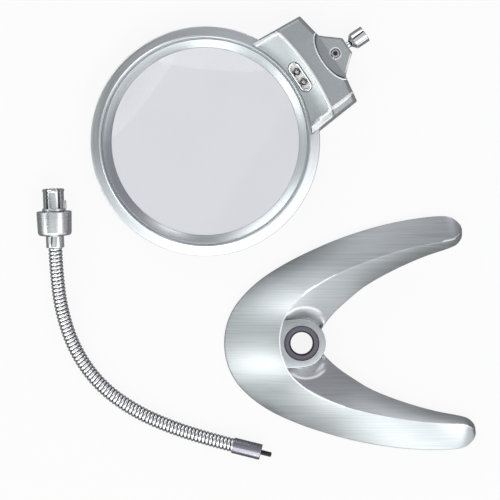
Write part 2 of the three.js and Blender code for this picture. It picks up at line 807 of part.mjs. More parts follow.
function buildRings(head) {
  const edgeTop = lensSeatHeight + lensEdge;
  const front = lensCap(lensRadius, lensFrontRise, edgeTop, lensSteps);
  const rear = lensCap(lensRadius, -lensRearRise, lensSeatHeight, lensSteps);
  addMesh(head, 'lens', turned([...rear, ...front.reverse()], ringFacets), clearLens);

  const flangeBottom = flangeTop - flangeThickness;
  const beadIn = beadRadius - beadWidth / 2;
  const beadOut = beadRadius + beadWidth / 2;
  const bezel = turned([
    [lensSight, edgeTop + partGap],
    [lensSight + partGap, edgeTop + partGap * 2],
    [coneRadius, flangeTop - partGap],
    [coneRadius + grooveWidth / 2, flangeTop - grooveDepth],
    [coneRadius + grooveWidth, flangeTop - grooveDepth],
    [beadIn, flangeTop],
    [beadRadius, flangeTop + beadRise],
    [beadOut, flangeTop],
    [flangeRadius - flangeChamfer, flangeTop],
    [flangeRadius, flangeTop - flangeChamfer],
    [flangeRadius, flangeBottom + flangeChamfer / 2],
    [flangeRadius - flangeChamfer / 2, flangeBottom],
    [rimRadius, flangeBottom],
    [rimRadius, ringJoint],
    [lensRadius + partGap, ringJoint],
    [lensRadius + partGap, edgeTop + partGap],
  ], ringFacets);
  addMesh(head, 'front_bezel', bezel, satin);

  const seatLow = lensSeatHeight - partGap;
  const ring = turned([
    [lensSight, rimChamfer],
    [lensSight, seatLow],
    [lensRadius + partGap, seatLow],
    [lensRadius + partGap, ringJoint - partGap],
    [rimRadius, ringJoint - partGap],
    [rimRadius, rimChamfer],
    [rimRadius - rimChamfer, 0],
    [lensSight + rimChamfer, 0],
  ], ringFacets);
  const seat = (angle) => new THREE.Vector2(Math.cos(angle), Math.sin(angle)).multiplyScalar(ringScrewRadius);
  const sunk = ringScrew.headHeight + partGap;
  const holes = ringScrewAngles.map(seat).map((at) => (
    screwHole(ringScrew).rotateX(Math.PI).translate(at.x, at.y, sunk)
  ));
  addMesh(head, 'rear_ring', cut(ring, ...holes), satin);
  head.getObjectByName('front_bezel').geometry = facingOut(cut(bezel, ...holes));
  ringScrewAngles.map(seat).forEach((at, k) => {
    const screw = pocketScrew(ringScrew).rotateX(Math.PI).translate(at.x, at.y, sunk);
    addMesh(head, `ring_screw_${k + 1}`, screw, steel);
  });
}

// The housing's lip lies on the flange, and its two shells part just below the flange.
const lipInner = beadRadius + beadWidth / 2 + partGap;
const lipBottom = flangeTop + partGap;
const housingLip = lipBottom + lipThickness;
const flangeClear = flangeRadius + partGap * 3 / 2;
const housingParting = flangeTop - flangeThickness - partGap / 2;
const dishRise = housingTop - housingLip;

// The housing's plan: its half width narrows away from the lens, its far end has slanted corners,
// and its walls lean out towards the rear.
const leanAt = (height) => housingDraft * (housingTop - height) / housingTop;
const farLeanAt = (height) => farDraftShare * leanAt(height);

function halfWidth(x) {
  const share = (x - housingNearX) / (housingReach - housingNearX);
  return housingHalfNear + (housingHalfFar - housingHalfNear) * share;
}

function farEnd(aside) {
  const past = Math.max(0, Math.abs(aside) - housingFlatHalf) / (housingHalfFar - housingFlatHalf);
  return housingReach - housingCorner * Math.min(1, past);
}

// Where an arc about the lens axis meets the station at a share of the half width.
function arcMeets(radius, share) {
  let aside = share * housingHalfNear;
  for (let k = 0; k < arcRounds; k += 1) {
    aside = share * halfWidth(Math.sqrt(radius * radius - aside * aside));
  }
  return Math.sqrt(radius * radius - aside * aside);
}

function ridgeAt(share) {
  const aside = share * halfWidth(ridgeX);
  return ridgeX - ridgeRadius + Math.sqrt(ridgeRadius * ridgeRadius - aside * aside);
}

const dishHeight = (along) => housingLip + dishRise * along ** dishPower;
const dishSlope = (along, span) => Math.atan(dishPower * dishRise * along ** (dishPower - 1) / span);

function housingStation(share, x, height, lean = leanAt(height)) {
  return new THREE.Vector3(x, share * (halfWidth(x) + lean), height);
}

function frontStation(share, dished, bevel) {
  const ridge = ridgeAt(share);
  const inner = arcMeets(lipInner, share);
  const aside = share * halfWidth(housingReach);
  const far = farEnd(aside);
  const outline = [[inner, lipBottom]];
  for (let k = 0; k <= dishSteps; k += 1) {
    const along = k / dishSteps;
    const straight = housingLip + dishRise * along;
    const height = dished ? dishHeight(along) : straight;
    outline.push([inner + (ridge - inner) * along, height - bevel]);
  }
  outline.push([ridge + ridgeStep, housingTop - ridgeStep - bevel]);
  outline.push([far - shoulderWidth, shoulderTop - bevel]);
  outline.push([far, shoulderTop - shoulderDrop - bevel]);
  outline.push([far + farLeanAt(housingParting), housingParting + partGap / 2]);
  outline.push([arcMeets(flangeClear, share), housingParting + partGap / 2]);
  outline.push([arcMeets(flangeClear, share), lipBottom]);
  return outline.map(([x, height]) => housingStation(share, x, height));
}

const halfShares = [0.12, 0.24, 0.36, 0.49, 0.6, 0.75, dishShare];
const housingShares = [...halfShares.map((share) => -share).reverse(), 0, ...halfShares];

function frontShell() {
  const rim = (share) => frontStation(share, false, 0);
  return lofted([
    frontStation(-1, false, sideBevel),
    rim(-barShare),
    ...housingShares.map((share) => frontStation(share, true, 0)),
    rim(barShare),
    frontStation(1, false, sideBevel),
  ]);
}

function rearStation(share, bevel) {
  const aside = share * halfWidth(housingReach);
  const far = farEnd(aside);
  const inner = arcMeets(rimRadius + partGap * 1.5, share);
  const top = housingParting - partGap / 2;
  const outline = [
    [inner, housingBase],
    [inner + housingBase, bevel],
    [far + farLeanAt(0) - housingBase, bevel],
    [far + farLeanAt(0), housingBase + bevel / 2],
    [far + farLeanAt(top), top],
    [inner, top],
  ];
  return outline.map(([x, height]) => housingStation(share, x, height));
}

function rearShell() {
  return lofted([
    rearStation(-1, housingBase),
    rearStation(-barShare, 0),
    ...housingShares.map((share) => rearStation(share, 0)),
    rearStation(barShare, 0),
    rearStation(1, housingBase),
  ]);
}

const compartmentNear = firstCellX - cellRadius - cellGap;
const compartmentFar = secondCellX + cellRadius + cellGap;
const chordAt = (height) => Math.sqrt(cellRadius ** 2 - (height - cellHeight) ** 2) + partGap;

function compartment() {
  const rearTop = housingParting;
  const lower = block(
    new THREE.Vector3(compartmentNear, -compartmentHalf, doorSetUp + doorThickness),
    new THREE.Vector3(compartmentFar, compartmentHalf, rearTop + overrun),
  );
  const upper = block(
    new THREE.Vector3(firstCellX - chordAt(rearTop), -compartmentHalf, rearTop - overrun),
    new THREE.Vector3(secondCellX + chordAt(rearTop), compartmentHalf, compartmentCeiling),
  );
  return { lower, upper };
}

function doorOpening() {
  return block(
    new THREE.Vector3(compartmentNear - doorRim, -compartmentHalf - doorRim, -overrun),
    new THREE.Vector3(
      housingReach + overrun * 2,
      compartmentHalf + doorRim,
      doorSetUp + doorThickness + partGap,
    ),
  );
}

const windowSpan = ridgeX - lipInner;
const windowX = lipInner + windowSpan * windowAlong;
const windowTilt = dishSlope(windowAlong, windowSpan);
const windowHeight = dishHeight(windowAlong);

function stadium(halfLength, halfSpan) {
  const shape = new THREE.Shape();
  const straight = halfLength - halfSpan;
  shape.absarc(0, straight, halfSpan, 0, Math.PI, false);
  shape.absarc(0, -straight, halfSpan, Math.PI, fullTurn, false);
  shape.closePath();
  return shape;
}

function jawRootOutline(clearance) {
  const shape = new THREE.Shape();
  const length = jawRootLength + clearance;
  const half = jawRootHalf + clearance;
  shape.absellipse(jawRootX, 0, length, half, quarterTurn, quarterTurn * 3, false);
  shape.lineTo(housingReach + overrun * 2, -half);
  shape.lineTo(housingReach + overrun * 2, half);
  shape.closePath();
  return shape;
}

const housingScrewShares = [[0.47, 0.975], [0.47, -0.975], [0.87, 0.977], [0.87, -0.977]];
const housingScrewPlaces = housingScrewShares.map(([along, aside]) => {
  const x = housingNearX + (housingReach - housingNearX) * along;
  return new THREE.Vector2(x, halfWidth(x) * aside);
});
const switchY = halfWidth(switchX) + leanAt(switchHeight);

function buildHousing(head) {
  const { lower, upper } = compartment();
  const sunk = shellScrew.headHeight + partGap;
  const holes = housingScrewPlaces.map((at) => (
    screwHole(shellScrew).rotateX(Math.PI).translate(at.x, at.y, sunk)
  ));
  const windowPocket = extruded(stadium(windowHalfLength, windowHalfWidth), -windowDepth, overrun);
  windowPocket.rotateY(-windowTilt).translate(windowX, 0, windowHeight);
  const jawRecess = extruded(jawRootOutline(0), jawRootBottom - partGap, housingTop + overrun, smallFacets);
  const clampRelief = disc(clampRecessRadius, lipBottom - clampHeadHeight, housingTop, smallFacets);
  clampRelief.translate(clampX, 0, 0);
  const front = cut(frontShell(), upper, windowPocket, jawRecess, clampRelief, ...holes);
  addMesh(head, 'housing_front', front, silverPaint);

  const switchInner = switchY - switchPocketDepth - switchBodyDepth;
  const switchPocket = block(
    new THREE.Vector3(switchX - switchLength / 2, switchInner, switchHeight - switchWidth / 2),
    new THREE.Vector3(switchX + switchLength / 2, switchY + overrun, switchHeight + switchWidth / 2),
  );
  addMesh(head, 'housing_rear', cut(rearShell(), lower, doorOpening(), switchPocket, ...holes), silverPaint);
  housingScrewPlaces.forEach((at, k) => {
    const screw = pocketScrew(shellScrew).rotateX(Math.PI).translate(at.x, at.y, sunk);
    addMesh(head, `housing_screw_${k + 1}`, screw, steel);
  });
  buildSwitch(head);
  buildLamp(head);
}

function buildSwitch(head) {
  const inner = switchY - switchPocketDepth - switchBodyDepth + partGap;
  const halfLong = switchLength / 2 - partGap;
  const halfWide = switchWidth / 2 - partGap;
  const body = block(
    new THREE.Vector3(switchX - halfLong, inner, switchHeight - halfWide),
    new THREE.Vector3(switchX + halfLong, inner + switchBodyDepth - partGap * 2, switchHeight + halfWide),
  );
  addMesh(head, 'switch_body', body, darkPlastic);
  const knobMiddle = switchX - knobTravel / 2;
  const knobLow = inner + switchBodyDepth - partGap;
  const knob = block(
    new THREE.Vector3(knobMiddle - knobLength / 2, knobLow, switchHeight - halfWide),
    new THREE.Vector3(knobMiddle + knobLength / 2, switchY - knobSetback, switchHeight + halfWide),
  );
  addMesh(head, 'switch_knob', knob, darkPlastic);
}

function buildLamp(head) {
  const lamp = new THREE.Group();
  lamp.position.set(windowX, 0, windowHeight);
  lamp.rotation.y = -windowTilt;
  head.add(lamp);
  const boardLow = -windowDepth + partGap / 2;
  const boardTop = boardLow + boardThickness;
  const boardSpan = windowHalfWidth - partGap;
  const board = extruded(stadium(windowHalfLength - partGap, boardSpan), boardLow, boardTop);
  addMesh(lamp, 'led_board', board, boardGreen);
  const outline = stadium(windowHalfLength - partGap, boardSpan);
  const opening = stadium(windowHalfLength - windowFrame, windowHalfWidth - windowFrame);
  outline.holes.push(new THREE.Path(opening.getPoints(smallFacets)));
  addMesh(lamp, 'led_bezel', extruded(outline, boardTop + partGap, windowProud), chrome);
  [1, -1].forEach((side, k) => {
    const low = boardTop + partGap / 2;
    const shoulder = low + lampHeight;
    const profile = [
      [0, low],
      [lampRadius + lampFlange, low],
      [lampRadius + lampFlange, low + lampFlangeHeight],
      [lampRadius, low + lampFlangeHeight],
      [lampRadius, shoulder],
      ...lampDomeShares.map(([out, up]) => [lampRadius * out, shoulder + lampRadius * up]),
    ];
    const dome = turned(profile, smallFacets).translate(0, side * lampSpacing / 2, 0);
    addMesh(lamp, `led_${k + 1}`, dome, lampDome);
  });
}

function buildPower(head) {
  const door = new THREE.Group();
  head.add(door);
  const doorHalf = compartmentHalf + doorRim - partGap;
  const doorNear = compartmentNear - doorRim + partGap;
  const doorFar = farEnd(0) + farLeanAt(0);
  const doorCorner = farEnd(doorHalf) + farLeanAt(0);
  const doorTop = doorSetUp + doorThickness;
  const outline = new THREE.Shape([
    new THREE.Vector2(doorNear, -doorHalf),
    new THREE.Vector2(doorCorner, -doorHalf),
    new THREE.Vector2(doorFar, -housingFlatHalf),
    new THREE.Vector2(doorFar, housingFlatHalf),
    new THREE.Vector2(doorCorner, doorHalf),
    new THREE.Vector2(doorNear, doorHalf),
  ]);
  const plate = extruded(outline, doorSetUp, doorTop);
  const grips = Array.from({ length: doorGrips }, (_, k) => {
    const x = doorFar - (k + 1) * doorGripWidth * 2;
    return block(
      new THREE.Vector3(x - doorGripWidth, -doorGripLength / 2, -overrun),
      new THREE.Vector3(x, doorGripLength / 2, doorSetUp + doorGripDepth),
    );
  });
  addMesh(door, 'battery_door', cut(plate, ...grips), silverPaint);

  const wallY = compartmentHalf - partGap;
  const cellShift = wallY - contactThickness - partGap - cellNub - cellLength / 2;
  [firstCellX, secondCellX].forEach((x, k) => {
    const half = cellLength / 2;
    const cell = turned([
      [0, -half],
      [cellRadius, -half],
      [cellRadius, half],
      [cellNubRadius, half],
      [cellNubRadius, half + cellNub],
      [0, half + cellNub],
    ], cellFacets);
    const side = k === 0 ? 1 : -1;
    cell.rotateX(-side * quarterTurn).translate(x, side * cellShift, cellHeight);
    addMesh(head, `battery_${k + 1}`, cell, cellJacket);
  });

  const contactLow = cellHeight - contactHeight / 2;
  const contactHigh = cellHeight + contactHeight / 2;
  const strip = (x0, x1, side) => block(
    new THREE.Vector3(x0, side > 0 ? wallY - contactThickness : -wallY, contactLow),
    new THREE.Vector3(x1, side > 0 ? wallY : -wallY + contactThickness, contactHigh),
  );
  const coil = (x, side) => {
    const reach = wallY - contactThickness - partGap - (cellLength / 2 - cellShift);
    const tip = springRadius * springTipShare;
    const foot = -contactThickness / 2;
    const cone = turned([[0, foot], [springRadius, foot], [tip, reach], [0, reach]], smallFacets);
    cone.rotateX(side > 0 ? quarterTurn : -quarterTurn);
    return cone.translate(x, side * (wallY - contactThickness), cellHeight);
  };
  const width = springRadius + contactThickness;
  const bridge = join(strip(firstCellX - width, secondCellX + width, -1), coil(firstCellX, -1));
  addMesh(head, 'contact_bridge', bridge, steel);
  const spring = join(strip(secondCellX - width, secondCellX + width, 1), coil(secondCellX, 1));
  addMesh(head, 'contact_spring', spring, steel);
  addMesh(head, 'contact_plate', strip(firstCellX - width, firstCellX + width, 1), steel);
}

// Ball joint
const jawBackX = housingReach + farLeanAt(0) + partGap;

function jawHalf(x) {
  return jawHalfNear + (jawHalfFar - jawHalfNear) * (x - housingReach) / (jawEndX - housingReach);
}

function jawSection(x, half, low, high) {
  const bevel = Math.min(jawBevel, half / 2);
  return [
    new THREE.Vector3(x, -half, low),
    new THREE.Vector3(x, half, low),
    new THREE.Vector3(x, half, high - bevel),
    new THREE.Vector3(x, half - bevel, high),
    new THREE.Vector3(x, -half + bevel, high),
    new THREE.Vector3(x, -half, high - bevel),
  ];
}

function jawNose(low, high) {
  const xs = [jawBackX, ballX, jawEndX - jawBevel, jawEndX];
  const drop = [0, 0, 0, jawBevel];
  return lofted(xs.map((x, k) => jawSection(x, jawHalf(x), low, high - drop[k])));
}

function frontJaw() {
  const rootX = jawRootX - jawRootLength + partGap;
  const rings = jawRootShares.map((share) => {
    const x = rootX + (housingReach - rootX) * share;
    const across = (jawRootX - x) / (jawRootLength - partGap);
    const half = (jawRootHalf - partGap) * Math.sqrt(Math.max(0, 1 - across * across));
    return jawSection(x, half, jawRootBottom, jawRootTop + (jawTop - jawRootTop) * share);
  });
  rings.push(jawSection(housingReach + partGap, jawHalfNear, jawRootBottom, jawTop));
  rings.push(jawSection(jawBackX + overrun, jawHalf(jawBackX + overrun), jawRootBottom, jawTop));
  return join(lofted(rings), jawNose(jointHeight + partGap / 2, jawTop));
}

function ballCavity() {
  const gap = ballRadius + partGap;
  const ball = new THREE.SphereGeometry(gap, ballFacets, sphereRows).translate(ballX, 0, jointHeight);
  const reach = jawEndX - ballX + overrun;
  const spread = (waistRadius + partGap) / Math.cos(stemTilt);
  const mouth = turnedAlongX([
    [0, 0],
    [spread, 0],
    [spread + reach * Math.tan(stemTilt), reach],
    [0, reach],
  ], roundFacets);
  return join(ball, mouth.translate(ballX, 0, jointHeight));
}

function buildClamp(head) {
  const mirrorHeight = 2 * jointHeight;
  const post = (radius, low, high, facets) => disc(radius, low, high, facets).translate(clampX, 0, 0);
  const shaftHole = post(clampShaftRadius + partGap, -overrun, housingTop + overrun, smallFacets);
  const headTop = jawTop - clampHeadSetDown;
  const headLow = headTop - clampHeadHeight;
  const recess = post(clampRecessRadius, headLow - partGap, housingTop + overrun, roundFacets);
  addMesh(head, 'socket_front_jaw', cut(frontJaw(), ballCavity(), shaftHole, recess), silverPaint);

  const nutLow = mirrorHeight - jawTop + partGap;
  const nutHigh = nutLow + nutHeight;
  const nutPocket = post(nutRadius + partGap, -overrun, nutHigh + partGap, hexFacets);
  const lowerNose = jawNose(jointHeight + partGap / 2, jawTop);
  lowerNose.rotateX(Math.PI).translate(0, 0, mirrorHeight);
  addMesh(head, 'socket_rear_jaw', cut(lowerNose, ballCavity(), shaftHole, nutPocket), silverPaint);

  const bolt = join(
    post(clampHeadRadius, headLow, headTop, roundFacets),
    post(clampShaftRadius, nutLow, headLow + partGap, smallFacets),
  );
  const socket = post(clampSocketRadius, headTop - clampSocketDepth, headTop + overrun, hexFacets);
  addMesh(head, 'clamp_screw', cut(bolt, socket), blackSteel);
  const threadHole = post(clampShaftRadius + partGap / 2, -overrun, nutHigh + overrun, smallFacets);
  addMesh(head, 'clamp_nut', cut(post(nutRadius, nutLow, nutHigh, hexFacets), threadHole), steel);
}

// The ball turns in its socket, the neck tilts on the ball, and the sleeve spins on the neck.
function buildStud(head) {
  const socket = new THREE.Group();
  socket.name = 'ball_centre';
  socket.position.set(ballX, 0, jointHeight);
  head.add(socket);
  addMesh(socket, 'stud_ball', new THREE.SphereGeometry(ballRadius, ballFacets, sphereRows), chrome);

  const hollow = ballRadius + partGap;
  const rimX = Math.sqrt(hollow ** 2 - waistRadius ** 2);
  const midRadius = waistRadius / 2;
  const midX = Math.sqrt(hollow ** 2 - midRadius ** 2);
  const neck = turnedAlongX([
    [0, hollow],
    [midRadius, midX],
    [waistRadius, rimX],
    [waistRadius, flareX - ballX],
    [sleeveRadius, sleeveX - ballX - partGap],
    [0, sleeveX - ballX - partGap],
  ], roundFacets);
  addMesh(socket, 'stud_neck', neck, chrome);

  const low = sleeveX - ballX;
  const high = low + sleeveLength;
  const sleeve = turnedAlongX([
    [0, low],
    [sleeveRadius, low],
    [sleeveRadius, high - sleeveChamfer],
    [sleeveRadius - sleeveChamfer, high],
    [sleeveBore, high],
    [sleeveBore, high - sleeveBoreDepth],
    [0, high - sleeveBoreDepth],
  ], roundFacets);
  addMesh(socket, 'stud_sleeve', sleeve, chrome);
}

function buildHead(parent) {
  const head = new THREE.Group();
  head.position.set(headAt.x, headAt.y, 0);
  head.rotation.z = headTurn;
  parent.add(head);
  buildRings(head);
  buildHousing(head);
  buildPower(head);
  buildClamp(head);
  buildStud(head);
}

const magnifier = new THREE.Group();
buildBase(magnifier);
buildArm(magnifier);
buildHead(magnifier);

const footprint = new THREE.Box3().setFromObject(magnifier, true);
const middle = footprint.getCenter(new THREE.Vector3());
magnifier.position.set(-middle.x, -middle.y, -footprint.min.z);
magnifier.updateMatrixWorld(true);

export default magnifier;
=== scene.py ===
import json
import math
import bmesh
import bpy
from mathutils import Matrix, Vector
from mathutils.kdtree import KDTree


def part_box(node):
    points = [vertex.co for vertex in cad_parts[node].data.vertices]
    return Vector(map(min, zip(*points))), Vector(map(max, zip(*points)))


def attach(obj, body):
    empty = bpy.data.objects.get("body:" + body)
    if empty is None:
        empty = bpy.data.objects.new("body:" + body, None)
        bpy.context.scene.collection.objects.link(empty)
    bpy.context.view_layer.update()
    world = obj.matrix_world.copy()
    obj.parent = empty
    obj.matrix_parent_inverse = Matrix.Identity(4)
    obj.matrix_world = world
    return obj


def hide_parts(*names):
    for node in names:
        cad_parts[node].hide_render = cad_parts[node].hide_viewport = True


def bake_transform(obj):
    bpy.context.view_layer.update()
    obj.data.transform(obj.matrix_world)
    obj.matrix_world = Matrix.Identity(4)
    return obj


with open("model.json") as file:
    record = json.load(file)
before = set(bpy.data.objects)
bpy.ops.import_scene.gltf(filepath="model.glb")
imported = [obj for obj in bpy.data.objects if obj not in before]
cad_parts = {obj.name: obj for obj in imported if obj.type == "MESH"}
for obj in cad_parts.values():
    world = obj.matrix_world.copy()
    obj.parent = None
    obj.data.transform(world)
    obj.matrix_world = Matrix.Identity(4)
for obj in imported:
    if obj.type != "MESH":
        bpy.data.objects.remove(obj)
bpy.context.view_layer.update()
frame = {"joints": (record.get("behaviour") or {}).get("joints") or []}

jointAt = {joint["name"]: joint for joint in frame["joints"]}


# Layout: where the camera stands and how the three groups lie, in mm and degrees
layout = {
    "cameraHeight": 2600,
    "viewWidth": 290,  # what the picture spans on the surface
    "photoCentre": (-3.705, -7.068),
    "clip": (0.05, 20),  # metres
    "baseTurn": 3.9,
    "headTurn": 34,
    "partGap": 0.3,
}
gap = layout["partGap"]  # left between parts that touch


def middleOf(node):
    low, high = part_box(node)
    return (low + high) * 500  # metres to mm


def placed(x, y, z, turn):
    return Matrix.Translation((x, y, z)) @ Matrix.Rotation(math.radians(turn), 4, "Z")


boreAxis = middleOf("base_bush")
lensAxis = middleOf("lens")
basePlace = placed(boreAxis.x, boreAxis.y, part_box("base_casting")[0].z * 1000, layout["baseTurn"])
headPlace = placed(lensAxis.x, lensAxis.y, 0, layout["headTurn"])


def onHead(x, y=0, z=0):  # a place in the head's own frame
    return headPlace @ Matrix.Translation((x, y, z))


def linked(name, data):
    thing = bpy.data.objects.new(name, data)
    bpy.context.scene.collection.objects.link(thing)
    return thing


def addCamera():
    data = bpy.data.cameras.new("camera")
    camera = linked("camera", data)
    x, y = layout["photoCentre"]
    camera.location = (x / 1000, y / 1000, layout["cameraHeight"] / 1000)
    data.sensor_fit = "HORIZONTAL"
    data.angle = 2 * math.atan(layout["viewWidth"] / 2 / layout["cameraHeight"])
    data.clip_start, data.clip_end = layout["clip"]
    bpy.context.scene.camera = camera


addCamera()
print("camera ready")


# Materials
def linear(hexColour, alpha=1.0):
    channels = [int(hexColour[k:k + 2], 16) / 255 for k in (1, 3, 5)]
    bent = [c / 12.92 if c <= 0.04045 else ((c + 0.055) / 1.055) ** 2.4 for c in channels]
    return (*bent, alpha)


def addNode(tree, kind, inputs=None, **settings):
    node = tree.nodes.new(kind)
    for name, value in settings.items():
        setattr(node, name, value)
    for socket, value in (inputs or {}).items():
        if isinstance(value, tuple) and isinstance(value[0], bpy.types.Node):
            tree.links.new(value[0].outputs[value[1]], node.inputs[socket])
        else:
            node.inputs[socket].default_value = value
    return node


def newMaterial(name, colour, roughness, values):  # the plain colour is for viewers that can't run the nodes
    material = bpy.data.materials.new(name)
    material.use_nodes = True
    tree = material.node_tree
    shader = tree.nodes["Principled BSDF"]
    shader.inputs["Base Color"].default_value = linear(colour)
    shader.inputs["Roughness"].default_value = roughness
    for socket, value in values.items():
        shader.inputs[socket].default_value = value
    return material, tree, shader


noiseMiddle = {"From Min": 0.3, "From Max": 0.7}  # where most of a noise's values lie


def textured(tree, shader, pattern, dark, light, rough, depth):  # one pattern gives colour, roughness and relief
    wide = addNode(tree, "ShaderNodeMapRange", noiseMiddle | {"Value": (pattern, "Fac")})
    tint = addNode(tree, "ShaderNodeMix", {0: (wide, "Result"), 6: linear(dark), 7: linear(light)}, data_type="RGBA")
    coarse = addNode(tree, "ShaderNodeMapRange", noiseMiddle | {
        "Value": (pattern, "Fac"), "To Min": rough[0], "To Max": rough[1],
    })
    bump = addNode(tree, "ShaderNodeBump", {
        "Height": (pattern, "Fac"), "Strength": 1.0, "Distance": depth / 1000,
    })
    for node, output, socket in ((tint, 2, "Base Color"), (coarse, "Result", "Roughness"), (bump, "Normal", "Normal")):
        tree.links.new(node.outputs[output], shader.inputs[socket])


metal = {"Metallic": 1.0}
brush = {
    "lineWidth": 0.5,  # mm; real brush lines are about 0.1, too fine to show at this size
    "lineLength": 40,
    "lineDepth": 0.006, "lineRough": (0.34, 0.44),
    "turnRadius": 60,  # mm from a ring's axis, where a turn counts as its length round the ring
    "turnDepth": 0.003, "turnRough": (0.3, 0.4),
    "toolDepth": 0.0004, "toolRough": (0.26, 0.32), "toolPlain": 0.3,
}


def linePattern(tree, coordinates):
    long, wide = 1000 / brush["lineLength"], 1000 / brush["lineWidth"]
    mapped = addNode(tree, "ShaderNodeMapping", {"Vector": coordinates, "Scale": (long, wide, long)})
    return addNode(tree, "ShaderNodeTexNoise", {
        "Vector": (mapped, "Vector"), "Scale": 1.0, "Detail": 3.0, "Roughness": 0.6,
    })


def polar(tree, centre):  # length round an upright axis, distance from it and height, in metres
    place = addNode(tree, "ShaderNodeTexCoord")
    centred = addNode(tree, "ShaderNodeVectorMath", {
        0: (place, "Object"), 1: tuple(-value / 1000 for value in centre),
    }, operation="ADD")
    parts = addNode(tree, "ShaderNodeSeparateXYZ", {"Vector": (centred, "Vector")})
    squareX = addNode(tree, "ShaderNodeMath", {0: (parts, "X"), 1: (parts, "X")}, operation="MULTIPLY")
    squareSum = addNode(tree, "ShaderNodeMath", {
        0: (parts, "Y"), 1: (parts, "Y"), 2: (squareX, "Value"),
    }, operation="MULTIPLY_ADD")
    radius = addNode(tree, "ShaderNodeMath", {0: (squareSum, "Value")}, operation="SQRT")
    angle = addNode(tree, "ShaderNodeMath", {0: (parts, "Y"), 1: (parts, "X")}, operation="ARCTAN2")
    around = addNode(tree, "ShaderNodeMath", {
        0: (angle, "Value"), 1: brush["turnRadius"] / 1000,
    }, operation="MULTIPLY")
    return addNode(tree, "ShaderNodeCombineXYZ", {
        "X": (around, "Value"), "Y": (radius, "Value"), "Z": (parts, "Z"),
    })


# spun and brushed round its axis, which gives the fan-like sheen of a pan's lid
def turnedAluminium(name, centre, dark, light):
    material, tree, shader = newMaterial(name, light, sum(brush["turnRough"]) / 2, metal)
    lines = linePattern(tree, (polar(tree, centre), "Vector"))
    textured(tree, shader, lines, dark, light, brush["turnRough"], brush["turnDepth"])
    return material


# nickel plate on turned brass: fine tool lines run round the part's axis
def turnedNickel(name, axis, dark, light):
    material, tree, shader = newMaterial(name, light, brush["toolPlain"], metal)
    place = addNode(tree, "ShaderNodeTexCoord")
    along = addNode(tree, "ShaderNodeVectorMath", {0: (place, "Object"), 1: tuple(axis)}, operation="DOT_PRODUCT")
    lines = addNode(tree, "ShaderNodeTexNoise", {
        "W": (along, "Value"), "Scale": 1000 / brush["lineWidth"], "Detail": 2.0,
    }, noise_dimensions="1D")
    textured(tree, shader, lines, dark, light, brush["toolRough"], brush["toolDepth"])
    return material


# a fine even grain, such as a moulded, painted or plated skin has
def mottled(name, colour, dark, light, rough, grain, depth, values, detail=4.0, fade=0.6):
    material, tree, shader = newMaterial(name, colour, sum(rough) / 2, values)
    place = addNode(tree, "ShaderNodeTexCoord")
    noise = addNode(tree, "ShaderNodeTexNoise", {
        "Vector": (place, "Object"), "Scale": 1000 / grain, "Detail": detail, "Roughness": fade,
    })
    textured(tree, shader, noise, dark, light, rough, depth)
    return material


# a clear cast or ground body, tinted by slow swirls; haze is its roughness from and to
def clearBody(name, colour, dark, light, roughness, swirlsPerMetre, values, haze=None):
    material, tree, shader = newMaterial(name, colour, roughness, values | {"Transmission Weight": 1.0})
    place = addNode(tree, "ShaderNodeTexCoord")
    swirl = addNode(tree, "ShaderNodeTexNoise", {
        "Vector": (place, "Object"), "Scale": swirlsPerMetre, "Detail": 2.0,
    })
    if haze:
        coarse = addNode(tree, "ShaderNodeMapRange", noiseMiddle | {
            "Value": (swirl, "Fac"), "To Min": haze[0], "To Max": haze[1],
        })
        tree.links.new(coarse.outputs["Result"], shader.inputs["Roughness"])
    tint = addNode(tree, "ShaderNodeMix", {0: (swirl, "Fac"), 6: linear(dark), 7: linear(light)}, data_type="RGBA")
    tree.links.new(tint.outputs[2], shader.inputs["Base Color"])
    return material


